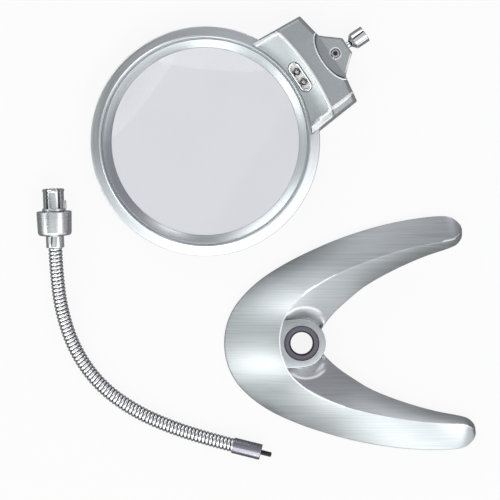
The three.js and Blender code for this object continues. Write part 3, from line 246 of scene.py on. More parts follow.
# Of each: plain, dark and light colour, roughness from and to, grain and depth in mm, and the shader's values
grains = {
    # nickel plate on a face that a cutter left flat, so it is duller and more even than the brushed skin round it
    "facedNickel": ("#C3C8C9", "#B2B7B8", "#C3C8C9", (0.42, 0.52), 0.5, 0.002, metal, 3.0, 0.5),
    # the same plate on the crest's edge, near white: a painted highlight that draws the crest as a bright line
    "crestHighlightNickel": ("#FCFDFD", "#F4F6F6", "#FCFDFD", (0.45, 0.55), 0.5, 0.002, metal, 3.0, 0.5),
    # bright chrome plate: almost a mirror, with a faint haze from handling
    "chromePlate": ("#EDEEEF", "#E8E9EA", "#F3F3F4", (0.05, 0.1), 6, 0.0, metal),
    # the same plate, darker, down in the coil's grooves
    "grooveChrome": ("#5E5D63", "#54535A", "#69686E", (0.15, 0.25), 3, 0.0, metal),
    # silver lacquer on ABS: aluminium flake under a satin clear coat
    "silverLacquer": ("#B2B7B8", "#AFB4B6", "#BCC1C2", (0.32, 0.4), 0.8, 0.002, {"Metallic": 0.75}),
    # the same lacquer, near white, on the raised edges: a painted highlight that draws them as bright lines
    "buffedLacquer": ("#F2F4F4", "#EDEFEF", "#F9FAFA", (0.3, 0.4), 0.8, 0.0, {"Metallic": 0.3}),
    # and a paler painted highlight round the jaw's seat and the clamp screw
    "wornLacquer": ("#D9DCDC", "#D2D6D6", "#E0E3E3", (0.3, 0.4), 0.8, 0.0, {"Metallic": 0.5}),
    # moulded acetal of the bush, with a fine spark-eroded grain
    "mouldedBush": ("#5D5A66", "#504D59", "#6B6874", (0.5, 0.65), 0.5, 0.03, {}),
    # moulded black ABS of the cover, with the same grain, coarser; also painted shade in the bush's bore
    "mouldedCover": ("#1D1D1F", "#18181A", "#242427", (0.5, 0.65), 0.7, 0.02, {}),
    # moulded black nylon of the switch, smoother where a thumb moves it
    "switchPlastic": ("#232325", "#1E1E20", "#2A2A2D", (0.4, 0.5), 0.6, 0.006, {}),
    # nitrile rubber feet: dull and slightly dusty
    "feetRubber": ("#39393C", "#303033", "#454548", (0.7, 0.9), 0.9, 0.02, {}),
    # zinc plate on steel: a cool, slightly blotchy shine
    "zincSteel": ("#9FA2A6", "#8F9296", "#B0B3B6", (0.22, 0.36), 0.5, 0.002, metal),
    # bright steel for the clamp screw's head, with a soft haze
    "screwSteel": ("#C6C5C9", "#BAB9BD", "#D2D1D5", (0.25, 0.35), 0.5, 0.002, metal),
    # black oxide on steel: dark, with a dull metal shine; on the lamps' reflector cups it stands as painted shade
    "blackOxideSteel": ("#4A474C", "#3A373C", "#5A575C", (0.3, 0.45), 0.5, 0.003, {"Metallic": 0.9}),
    # white solder mask, screen printed on the lamps' board; the lamps' dies are as pale
    "whiteMask": ("#E4E5E4", "#D9DAD9", "#EDEEED", (0.35, 0.5), 0.5, 0.004, {}),
    # plastic film shrunk on the cells, so it is smooth; its band is printed in a metallic ink
    "cellFilm": ("#3A3E44", "#33373D", "#43474D", (0.3, 0.4), 2, 0.0, {"Metallic": 0.3}),
    "cellBand": ("#B9773F", "#AE6E38", "#C5824A", (0.3, 0.4), 2, 0.0, {"Metallic": 0.6}),
}
finishes = {name: mottled(name, *row) for name, row in grains.items()} | {
    "turnedAluminium": turnedAluminium("turnedAluminium", lensAxis, "#B4B9BB", "#C6CACC"),
    # the flange in a lighter copy of the same aluminium: painted light
    "litFlangeAluminium": turnedAluminium("litFlangeAluminium", lensAxis, "#D2D7D9", "#E2E5E7"),
    # crown glass of the lens, ground and bloomed, so it mirrors less; clear with a trace of grey
    "opticalGlass": clearBody("opticalGlass", "#E2E3E7", "#D8D9DF", "#DFE0E4", 0.0, 25.0,
                              {"IOR": 1.52, "Specular IOR Level": 0.08}, haze=(0.0, 0.02)),
    # the cast epoxy body of a lamp
    "clearEpoxy": clearBody("clearEpoxy", "#F4F6EE", "#ECEEE6", "#FAFAF6", 0.05, 900.0, {"IOR": 1.54}),
}
print("materials ready")


# Shapes: points are in mm in a group's own frame, and place takes them to the model's frame
def makePiece(name, points, faces, place, sharpAngle=32):
    mesh = bpy.data.meshes.new(name)
    mesh.from_pydata([tuple((place @ Vector(point)) / 1000) for point in points], [], faces)
    mesh.update()
    body = bmesh.new()
    body.from_mesh(mesh)
    bmesh.ops.recalc_face_normals(body, faces=body.faces)
    body.to_mesh(mesh)
    body.free()
    smoothed(mesh, sharpAngle)
    return linked(name, mesh)


def smoothed(mesh, sharpAngle):
    mesh.shade_smooth()
    mesh.set_sharp_from_angle(angle=math.radians(sharpAngle))


def lofted(sections, closedLoop=False):  # sections of equal counts, skinned one to the next
    count = len(sections[0])
    points = [point for section in sections for point in section]
    faces = []
    spans = len(sections) if closedLoop else len(sections) - 1
    for i in range(spans):
        here, beyond = i * count, (i + 1) % len(sections) * count
        for k in range(count):
            after = (k + 1) % count
            faces.append((here + k, here + after, beyond + after, beyond + k))
    if not closedLoop:
        faces.append(tuple(range(count)))
        faces.append(tuple(range((len(sections) - 1) * count, len(sections) * count)))
    return points, faces


def turned(profile, segments):  # (radius, height) pairs turned about +Z, closed at the axis or on itself
    points, rows = [], []
    for radius, height in profile:
        if radius == 0:
            rows.append([len(points)] * segments)
            points.append((0, 0, height))
        else:
            rows.append(list(range(len(points), len(points) + segments)))
            for k in range(segments):
                turn = math.tau * k / segments
                points.append((radius * math.cos(turn), radius * math.sin(turn), height))
    onAxis = profile[0][0] == 0 and profile[-1][0] == 0
    pairs = list(zip(rows, rows[1:])) + ([] if onAxis else [(rows[-1], rows[0])])
    faces = []
    for low, high in pairs:
        for k in range(segments):
            after = (k + 1) % segments
            corners = [low[k], low[after], high[after], high[k]]
            face = tuple(dict.fromkeys(corners))
            if len(face) > 2:
                faces.append(face)
    return points, faces


def softened(points, radius, steps=4, closed=False):  # corners of a path rounded; radius is one value or a list
    radii = radius if isinstance(radius, (list, tuple)) else [radius] * len(points)
    path = [Vector(point) for point in points]
    result = []
    count = len(path)
    for k, corner in enumerate(path):
        if not closed and k in (0, count - 1) or radii[k] == 0:
            result.append(tuple(corner))
            continue
        before, after = path[k - 1] - corner, path[(k + 1) % count] - corner
        back = min(radii[k], before.length * 0.48, after.length * 0.48)
        start, end = corner + before.normalized() * back, corner + after.normalized() * back
        for step in range(steps + 1):
            share = step / steps
            result.append(tuple(start.lerp(corner, share).lerp(corner.lerp(end, share), share)))
    return result


def carve(piece, cutter, operation="DIFFERENCE"):
    change = piece.modifiers.new("carve", "BOOLEAN")
    change.object = cutter
    change.operation = operation
    change.solver = "MANIFOLD"
    applied(piece)
    bpy.data.objects.remove(cutter)


def cut(piece, shape, place):  # takes a shape away; cutters run a little past what they cut
    carve(piece, makePiece("cutter", *shape, place))


def join(piece, shape, place):
    carve(piece, makePiece("addition", *shape, place), "UNION")


def applied(piece):  # the modifiers' result becomes the mesh
    graph = bpy.context.evaluated_depsgraph_get()
    mesh = bpy.data.meshes.new_from_object(piece.evaluated_get(graph))
    piece.modifiers.clear()
    old = piece.data
    piece.data = mesh
    mesh.name = piece.name
    bpy.data.meshes.remove(old)


def bevelled(piece, width, angle=30, segments=3):
    change = piece.modifiers.new("edges", "BEVEL")
    change.width = width / 1000
    change.limit_method = "ANGLE"
    change.angle_limit = math.radians(angle)
    change.segments = segments
    change.harden_normals = False
    change.use_clamp_overlap = True
    applied(piece)
    smoothed(piece.data, 40)


def finished(piece, finish, slot, body, *nodes):
    piece.data.materials.clear()
    piece.data.materials.append(finishes[finish])
    for face in piece.data.polygons:
        face.material_index = 0
    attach(piece, body)
    if nodes:
        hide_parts(*nodes)


def painted(piece, place, choose, *names):  # other finishes where choose gives 1, 2 and so on for a face
    for name in names:
        piece.data.materials.append(finishes[name])
    back = place.inverted()
    for face in piece.data.polygons:
        face.material_index = int(choose(back @ (face.center * 1000), face.normal))


# Base casting: a horseshoe with a sharp crest, a boss with a scoop on either side
base = {
    "length": 142, "width": 135.2, "height": 24, "setback": 44.7,
    "outerWall": 3.0, "edgeRound": 0.9, "crestRound": 0.45,
    "bossRadius": 13.8, "bossFlat": 9.8, "bossBulge": 5.4, "bossEdge": 0.5,
    "boreRadius": 9.8, "crown": 0.05,
    "scoopCentre": (2.5, 13), "scoopReach": (12.4, 8.6), "scoopValley": 14.6, "scoopDepth": 3.4,
    "scoopPower": 2.4,  # how long and soft the slope in from the rim is
    "scoopOverrun": 0.4, "scoopFade": 5, "boreFloor": 12, "boreLedge": 0.8,
    "coverRim": 3, "coverRecess": 2.2, "steps": 12, "slopePoints": 30, "crestHighlightWidth": 0.55,
}
outerShares = [
    (0, 0), (0.01, 0.157), (0.039, 0.3), (0.093, 0.438), (0.17, 0.567), (0.265, 0.677), (0.369, 0.771),
    (0.515, 0.876), (0.716, 0.969), (0.906, 1), (0.959, 0.981), (0.992, 0.92), (1, 0.878),
]
crestShares = [
    (0.225, 0), (0.229, 0.089), (0.243, 0.186), (0.271, 0.29), (0.322, 0.393), (0.389, 0.482), (0.473, 0.565),
    (0.607, 0.657), (0.78, 0.743), (0.92, 0.783), (0.964, 0.799), (0.985, 0.825), (0.996, 0.845),
]
innerShares = [
    (0.35, 0), (0.371, 0.044), (0.392, 0.081), (0.413, 0.141), (0.452, 0.229), (0.508, 0.325), (0.587, 0.441),
    (0.711, 0.565), (0.84, 0.663), (0.945, 0.722), (0.973, 0.746), (0.993, 0.79), (0.999, 0.825),
]
crestHeights = [1, 1, 0.992, 0.975, 0.933, 0.875, 0.804, 0.679, 0.525, 0.4, 0.367, 0.27, 0.17]
innerHeights = [0.42, 0.42, 0.42, 0.42, 0.36, 0.29, 0.23, 0.19, 0.165, 0.15, 0.145, 0.13, 0.12]

# The base's nickel, and the painted highlight on its scoops: mm, and shares of the scoop's oval
scoopHighlight = {
    "middle": 0.86, "core": 0.03, "edge": 0.13, "start": 15, "full": 18,
    "hollow": 0.33,  # the hollow's inside is lightened too, but less: painted light
    "colour": "#FFFFFF", "metal": 0.4,
}


def scoopHighlightShare(tree, place):  # where a highlight is painted on the outer rims of the two scoops, 0 to 1, with a weaker one in their hollows
    local = addNode(tree, "ShaderNodeMapping", {
        "Vector": (place, "Object"), "Location": tuple(basePlace.translation / 1000),
        "Rotation": (0, 0, math.radians(layout["baseTurn"])), "Scale": (0.001, 0.001, 0.001),
    }, vector_type="TEXTURE")
    parts = addNode(tree, "ShaderNodeSeparateXYZ", {"Vector": (local, "Vector")})
    aside = addNode(tree, "ShaderNodeMath", {0: (parts, "Y")}, operation="ABSOLUTE")
    flat = addNode(tree, "ShaderNodeCombineXYZ", {"X": (parts, "X"), "Y": (aside, "Value")})
    oval = addNode(tree, "ShaderNodeMapping", {
        "Vector": (flat, "Vector"), "Location": (*base["scoopCentre"], 0), "Scale": (*base["scoopReach"], 1),
    }, vector_type="TEXTURE")
    away = addNode(tree, "ShaderNodeVectorMath", {0: (oval, "Vector")}, operation="LENGTH")
    apart = addNode(tree, "ShaderNodeMath", {0: (away, "Value"), 1: scoopHighlight["middle"]}, operation="SUBTRACT")
    size = addNode(tree, "ShaderNodeMath", {0: (apart, "Value")}, operation="ABSOLUTE")
    band = addNode(tree, "ShaderNodeMapRange", {
        "Value": (size, "Value"), "From Min": scoopHighlight["core"], "From Max": scoopHighlight["edge"], "To Min": 1.0, "To Max": 0.0,
    }, interpolation_type="SMOOTHSTEP")
    outside = addNode(tree, "ShaderNodeMapRange", {
        "Value": (aside, "Value"), "From Min": scoopHighlight["start"], "From Max": scoopHighlight["full"],
    }, interpolation_type="SMOOTHSTEP")
    rim = addNode(tree, "ShaderNodeMath", {0: (band, "Result"), 1: (outside, "Result")}, operation="MULTIPLY")
    inside = addNode(tree, "ShaderNodeMapRange", {
        "Value": (apart, "Value"), "From Min": 0.0, "From Max": -scoopHighlight["edge"], "To Max": scoopHighlight["hollow"],
    })
    return addNode(tree, "ShaderNodeMath", {0: (rim, "Value"), 1: (inside, "Result")}, operation="MAXIMUM")


# nickel plate on a zinc casting, brushed in straight lines, which draws highlights out across them
def satinNickel():
    material, tree, shader = newMaterial("satinNickel", "#C2C5C6", 0.4, metal)
    place = addNode(tree, "ShaderNodeTexCoord")
    lines = linePattern(tree, (place, "Object"))
    textured(tree, shader, lines, "#B5BABC", "#CBCFD0", brush["lineRough"], brush["lineDepth"])
    plain = shader.inputs["Base Color"].links[0].from_socket
    # a white painted highlight on the scoops' rims, and weaker painted light in their hollows, mixed into the colour
    scoopHighlightMask = scoopHighlightShare(tree, place)
    mixed = addNode(tree, "ShaderNodeMix", {0: (scoopHighlightMask, "Value"), 7: linear(scoopHighlight["colour"])}, data_type="RGBA")
    tree.links.new(plain, mixed.inputs[6])
    tree.links.new(mixed.outputs[2], shader.inputs["Base Color"])
    share = addNode(tree, "ShaderNodeMapRange", {"Value": (scoopHighlightMask, "Value"), "To Min": 1.0, "To Max": scoopHighlight["metal"]})
    tree.links.new(share.outputs["Result"], shader.inputs["Metallic"])
    return material


finishes["satinNickel"] = satinNickel()


def curveThrough(points, steps):  # a centripetal curve through every point
    ends = [points[0] * 2 - points[1]] + points + [points[-1] * 2 - points[-2]]
    result = []
    for k in range(1, len(ends) - 2):
        a, b, c, d = ends[k - 1:k + 3]
        ta = 0.0
        tb = ta + math.sqrt((b - a).length)
        tc = tb + math.sqrt((c - b).length)
        td = tc + math.sqrt((d - c).length)
        for step in range(steps):
            t = tb + (tc - tb) * step / steps
            p = a.lerp(b, (t - ta) / (tb - ta))
            q = b.lerp(c, (t - tb) / (tc - tb))
            r = c.lerp(d, (t - tc) / (td - tc))
            result.append(p.lerp(q, (t - ta) / (tc - ta)).lerp(q.lerp(r, (t - tb) / (td - tb)), (t - tb) / (tc - tb)))
    return result + [points[-1]]


def baseLine(shares, heights):
    half = [
        Vector((along * base["length"] - base["setback"], aside * base["width"] / 2, height * base["height"]))
        for (along, aside), height in zip(shares, heights)
    ]
    mirrored = [Vector((point.x, -point.y, point.z)) for point in reversed(half[1:])]
    return curveThrough(mirrored + half, base["steps"])


def slope(edge, crest):  # a slightly crowned run of points from an edge to the crest
    run = []
    for k in range(1, base["slopePoints"]):
        share = k / base["slopePoints"]
        point = edge.lerp(crest, share)
        point.z += base["crown"] * (crest.z - edge.z) * 4 * share * (1 - share)
        run.append(point)
    return run


def scoopRim(turn):  # how far the scoop's oval rim lies from the bore's axis in a direction
    (x, y), (a, b) = base["scoopCentre"], base["scoopReach"]
    across, up = math.cos(turn) / a, math.sin(turn) / b
    square, half, rest = across ** 2 + up ** 2, -(across * x / a + up * y / b), (x / a) ** 2 + (y / b) ** 2 - 1
    inside = half * half - square * rest
    return (-half + math.sqrt(inside)) / square if inside > 0 else 0


def scooped(point):  # the hollow beside the boss: a long soft slope in from the rim, a short steep one back out
    x, y, z = point
    turn, away = math.atan2(abs(y), x), math.hypot(x, y)
    rim, valley = scoopRim(turn), base["scoopValley"]
    if rim <= valley or away >= rim or z < base["outerWall"]:
        return point
    if away > valley:
        share = ((rim - away) / (rim - valley)) ** base["scoopPower"]
    else:
        back = min(1, (valley - away) / (valley - base["bossRadius"] + base["scoopOverrun"]))
        share = 1 - back * back * (3 - 2 * back)
    depth = base["scoopDepth"] * min(1, (rim - valley) / base["scoopFade"])
    return (x, y, z - depth * share)


def baseSection(outer, crest, inner):
    corner = [0, base["edgeRound"], *[0] * (base["slopePoints"] - 1), base["crestRound"]]
    corner += [*[0] * (base["slopePoints"] - 1), base["edgeRound"], 0]
    path = [Vector((outer.x, outer.y, 0)), outer, *slope(outer, crest), crest]
    path += [*reversed(slope(inner, crest)), inner, Vector((inner.x, inner.y, 0))]
    return [scooped(point) for point in softened(path, corner)]


def bossOutline(arcSteps=48, rearSteps=24):  # a half round in front, a gently bulging flat behind
    radius = base["bossRadius"]
    turns = [math.radians(-90 + 180 * k / arcSteps) for k in range(arcSteps + 1)]
    arc = [(radius * math.cos(turn), radius * math.sin(turn)) for turn in turns]
    for k in range(rearSteps + 1):
        share = k / rearSteps
        bulge = base["bossBulge"] / 2 * 4 * share * (1 - share)
        arc.append((-base["bossFlat"] - bulge, radius * (1 - 2 * share)))
    return arc


def standing(outline, low, high):
    return lofted([[(x, y, low) for x, y in outline], [(x, y, high) for x, y in outline]])


def disc(radius, low, high, segments=96):
    return turned([(0, low), (radius, low), (radius, high), (0, high)], segments)


def ellipsoid(centre, radii, columns=96, rows=48):
    profile = [(math.sin(math.pi * k / rows), -math.cos(math.pi * k / rows)) for k in range(rows + 1)]
    profile[0], profile[-1] = (0, -1), (0, 1)
    points, faces = turned(profile, columns)
    return [tuple(c + r * p for c, r, p in zip(centre, radii, point)) for point in points], faces


def basePlate(inset, low, high, outer, inner):  # a flat plate inside the horseshoe's outline, short of its tips
    sections = []
    skipped = 2 * base["steps"]
    for a, b in list(zip(outer, inner))[skipped:len(outer) - skipped]:
        inward = Vector((b.x - a.x, b.y - a.y, 0)).normalized() * inset
        start, end = Vector((a.x, a.y, 0)) + inward, Vector((b.x, b.y, 0)) - inward
        sections.append([(start.x, start.y, low), (end.x, end.y, low), (end.x, end.y, high), (start.x, start.y, high)])
    return lofted(sections)


def facedBossAndCrestHighlight(piece, crest):  # the boss's top is faced by a cutter, and the crest's edge gets a painted highlight
    line = KDTree(len(crest))
    for k, point in enumerate(crest):
        line.insert((point.x, point.y, 0), k)
    line.balance()

    def bossOrCrestHighlight(centre, normal):
        if centre.z > base["height"] - 0.05 and normal.z > 0.99 and centre.xy.length < base["bossRadius"] + 1:
            return 1
        # faces along the crest take the painted highlight
        return 2 if normal.z > 0.6 and line.find((centre.x, centre.y, 0))[2] < base["crestHighlightWidth"] else 0

    painted(piece, basePlace, bossOrCrestHighlight, "facedNickel", "crestHighlightNickel")


def buildBase():
    outer = baseLine(outerShares, [base["outerWall"] / base["height"]] * len(outerShares))
    crest = baseLine(crestShares, crestHeights)
    inner = baseLine(innerShares, innerHeights)
    sections = [baseSection(a, b, c) for a, b, c in zip(outer, crest, inner)]
    casting = makePiece("horseshoeCasting", *lofted(sections), basePlace)
    boss = makePiece("boss", *standing(bossOutline(), 0, base["height"]), basePlace)
    bevelled(boss, base["bossEdge"], angle=60)
    carve(casting, boss, "UNION")
    cut(casting, disc(base["boreRadius"] + gap, base["boreFloor"], 40), basePlace)
    cut(casting, disc(base["boreRadius"] - base["boreLedge"], -5, 20), basePlace)
    recess = basePlate(base["coverRim"], -5, base["coverRecess"], outer, inner)
    cut(casting, recess, basePlace)
    smoothed(casting.data, 28)
    finished(casting, "satinNickel", "satin_nickel", "base", "base_casting")
    facedBossAndCrestHighlight(casting, crest)


bush = {"radius": 9.8, "bore": 6.35, "top": 23.1, "length": 10.4, "chamfer": 0.85, "chamferDepth": 2.6, "round": 0.3}


def buildBush():
    low, top = bush["top"] - bush["length"], bush["top"]
    profile = softened([
        (bush["bore"], low, 0), (bush["radius"], low, 0), (bush["radius"], top, 0),
        (bush["bore"] + bush["chamfer"], top, 0), (bush["bore"], top - bush["chamferDepth"], 0),
    ], bush["round"], closed=True)
    piece = makePiece("bushRing", *turned([point[:2] for point in profile], 128), basePlace)
    finished(piece, "mouldedBush", "bush_plastic", "base", "base_bush")
    mouth = bush["bore"] + bush["chamfer"]  # the bore and its mouth take the cover's black as painted shade
    painted(piece, basePlace, lambda centre, normal: centre.xy.length < mouth, "mouldedCover")


# Screws of three kinds, in mm; the recesses round their heads follow from the same sizes
screwSizes = {
    "cover": {"Head Radius": 2.6, "Head Height": 1.1, "Shaft Radius": 1.4, "Length": 8, "Drive Radius": 1.1,
              "Drive Depth": 0.7, "Chamfer": 0.25},
    "ring": {"Head Radius": 1.5, "Head Height": 0.9, "Shaft Radius": 0.85, "Length": 11, "Drive Radius": 0.7,
             "Drive Depth": 0.5, "Chamfer": 0.18},
    "shell": {"Head Radius": 1.5, "Head Height": 0.9, "Shaft Radius": 0.85, "Length": 15, "Drive Radius": 0.7,
              "Drive Depth": 0.5, "Chamfer": 0.18},
}
cover = {"low": 0.3, "thickness": 1.6, "edge": 0.25, "windowRim": 3, "headRoom": 0.1}


def screwRecess(kind, segments):  # room for a screw's head, open below
    sizes = screwSizes[kind]
    return disc(sizes["Head Radius"] + gap, -2, sizes["Head Height"] + gap, segments)


def sunk(piece, node, radius, height):  # a round recess in the cover's underside, round a foot or a screw
    low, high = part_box(node)
    place = Matrix.Translation(((low.x + high.x) * 500, (low.y + high.y) * 500, low.z * 1000))
    cut(piece, disc(radius + gap, -5, height), place)


def buildCover():
    outer = baseLine(outerShares, [base["outerWall"] / base["height"]] * len(outerShares))
    inner = baseLine(innerShares, innerHeights)
    inset = base["coverRim"] + gap
    plate = basePlate(inset, cover["low"], cover["low"] + cover["thickness"], outer, inner)
    piece = makePiece("bottomCover", *plate, basePlace)
    bevelled(piece, cover["edge"], angle=45, segments=2)
    cut(piece, disc(base["boreRadius"] + cover["windowRim"], -5, 20), basePlace)
    screw = screwSizes["cover"]
    for k in range(1, 5):
        low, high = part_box(f"base_foot_{k}")
        sunk(piece, f"base_foot_{k}", (high.x - low.x) * 500, (high.z - low.z) * 1000 + gap)
        sunk(piece, f"base_cover_screw_{k}", screw["Head Radius"], screw["Head Height"] + cover["headRoom"])
        sunk(piece, f"base_cover_screw_{k}", screw["Shaft Radius"], screw["Length"])
    smoothed(piece.data, 30)
    finished(piece, "mouldedCover", "cover_plastic", "base", "base_bottom_cover")


buildBase()
buildBush()
buildCover()
print("base ready")


# Lens and its two rings
rings = {
    "lensRadius": 55, "lensEdge": 2.6, "frontRise": 5.2, "rearRise": 4.2, "seat": 5.6, "sight": 54.2,
    "flange": 66.2, "flangeTop": 14.4, "flangeFall": 1.0, "flangeThickness": 2.95,
    "bead": 60.6, "beadWidth": 1.4, "beadRise": 0.45, "groove": 0.7, "grooveDepth": 0.7,
    "cone": 58.8, "wallTop": 10.9, "rim": 62.9, "joint": 9.4, "segments": 256,
    "screwRadius": 59.3, "screwTurns": (70, 140, 220, 290),
}


def lensCap(rise, height, steps=24):
    radius = rings["lensRadius"]
    sphere = (radius * radius + rise * rise) / (2 * abs(rise))
    sign = 1 if rise > 0 else -1
    return [
        (radius * k / steps, height + rise - sign * (sphere - math.sqrt(sphere ** 2 - (radius * k / steps) ** 2)))
        for k in range(steps + 1)
    ]


def turnedPiece(name, profile, radius, segments, place, closed=False, steps=4):
    path = softened([(r, z, 0) for r, z in profile], radius, steps, closed)
    return makePiece(name, *turned([(max(point[0], 0), point[1]) for point in path], segments), place)


def buildLens():
    edgeTop = rings["seat"] + rings["lensEdge"]
    front, rear = lensCap(rings["frontRise"], edgeTop), lensCap(-rings["rearRise"], rings["seat"])
    piece = makePiece("biconvexLens", *turned(rear + front[::-1], rings["segments"]), headPlace)
    finished(piece, "opticalGlass", "lens_glass", "head", "lens")


def buildRings():
    edgeTop = rings["seat"] + rings["lensEdge"]
    top = rings["flangeTop"]
    bottom, fall = top - rings["flangeThickness"], rings["flangeFall"]
    beadIn, beadOut = rings["bead"] - rings["beadWidth"] / 2, rings["bead"] + rings["beadWidth"] / 2
    cone, groove = rings["cone"], rings["groove"]
    front = turnedPiece("frontBezel", [
        (rings["sight"], edgeTop + gap), (rings["sight"], rings["wallTop"]), (cone, top - gap),
        (cone + groove / 2, top - rings["grooveDepth"]), (cone + groove, top - rings["grooveDepth"]),
        (beadIn, top), (rings["bead"], top + rings["beadRise"]), (beadOut, top),
        (rings["flange"] - gap, top - fall), (rings["flange"], top - fall - gap), (rings["flange"], bottom + gap),
        (rings["flange"] - gap, bottom), (rings["rim"], bottom), (rings["rim"], rings["joint"]),
        (rings["lensRadius"] + gap, rings["joint"]), (rings["lensRadius"] + gap, edgeTop + gap),
    ], [0.1, 0.3, 0.2, 0.2, 0.2, 0.3, 0.6, 0.3, 0.4, 0.4, 0.4, 0.4, 0.3, 0.1, 0.1, 0.1],
        rings["segments"], headPlace, closed=True)
    finished(front, "turnedAluminium", "brushed_aluminium", "head", "front_bezel")
    # the flange outside the bead takes the lighter copy as painted light
    painted(front, headPlace, lambda centre, normal: centre.xy.length > rings["bead"], "litFlangeAluminium")
    seat = rings["seat"] - gap
    rear = turnedPiece("rearRing", [
        (rings["sight"], 1), (rings["sight"], seat), (rings["lensRadius"] + gap, seat),
        (rings["lensRadius"] + gap, rings["joint"] - gap), (rings["rim"], rings["joint"] - gap),
        (rings["rim"], 1), (rings["rim"] - 1, 0), (rings["sight"] + 1, 0),
    ], 0.25, rings["segments"], headPlace, closed=True)
    return rear


ringScrewPlaces = [
    (rings["screwRadius"] * math.cos(math.radians(turn)), rings["screwRadius"] * math.sin(math.radians(turn)))
    for turn in rings["screwTurns"]
]
buildLens()
rearRing = buildRings()
for at in ringScrewPlaces:
    cut(rearRing, screwRecess("ring", 48), onHead(*at))
smoothed(rearRing.data, 32)
finished(rearRing, "turnedAluminium", "brushed_aluminium", "head", "rear_ring")
print("lens and rings ready")


# Gooseneck arm: wire coiled into a flexible tube, laid in the curve of the photograph
neck = {
    "length": 171, "bend": 74.2, "heading": -88.1, "planeNormal": (-0.03493, -0.07044, 0.9969),
    "shares": (0.062, 0.162, 0.225, 0.248, 0.167, 0.094, 0.042),
    "coil": {"Radius": 4.08, "Groove Depth": 0.75, "Coil Pitch": 2.15, "Ring Spacing": 0.18, "Around": 40,
             "Groove Start": 0.74},
    "valleyPower": 2.6,  # how narrow the groove between two turns is
    "pointSpacing": 1.5, "lowerReach": 6.2, "upperReach": 7.8,
}
linkLength = neck["length"] / len(neck["shares"])
linkBends = [math.radians(neck["bend"] * share) for share in neck["shares"]]


def arcEnd(bend, along):
    bow = linkLength / bend
    angle = bend * along / linkLength
    return Matrix.Translation((bow * math.sin(angle), bow * (1 - math.cos(angle)), 0)) @ Matrix.Rotation(angle, 4, "Z")


def armFrame():  # the frame of the first link's start, found from the first joint's place
    lean = Vector((0, 0, 1)).rotation_difference(Vector(neck["planeNormal"])).to_matrix().to_4x4()
    turn = lean @ Matrix.Rotation(math.radians(neck["heading"]), 4, "Z")
    firstJoint = Vector(jointAt["neck_bend_1"]["pos_m"]) * 1000
    start = firstJoint - (turn @ arcEnd(linkBends[0], linkLength)).translation
    return Matrix.Translation(start) @ turn


armPlace = armFrame()


def neckFrame(along):  # the frame on the centre line at a length from the first link's start
    frameHere = armPlace
    for bend in linkBends[:-1]:
        if along < linkLength:
            break
        frameHere = frameHere @ arcEnd(bend, linkLength)
        along -= linkLength
    else:
        bend = linkBends[-1]
    if along < 0 or along > linkLength:
        end = arcEnd(bend, min(max(along, 0), linkLength))
        return frameHere @ end @ Matrix.Translation((along - min(max(along, 0), linkLength), 0, 0))
    return frameHere @ arcEnd(bend, along)


def addInput(tree, name, kind):
    return tree.interface.new_socket(name, in_out="INPUT", socket_type=kind)


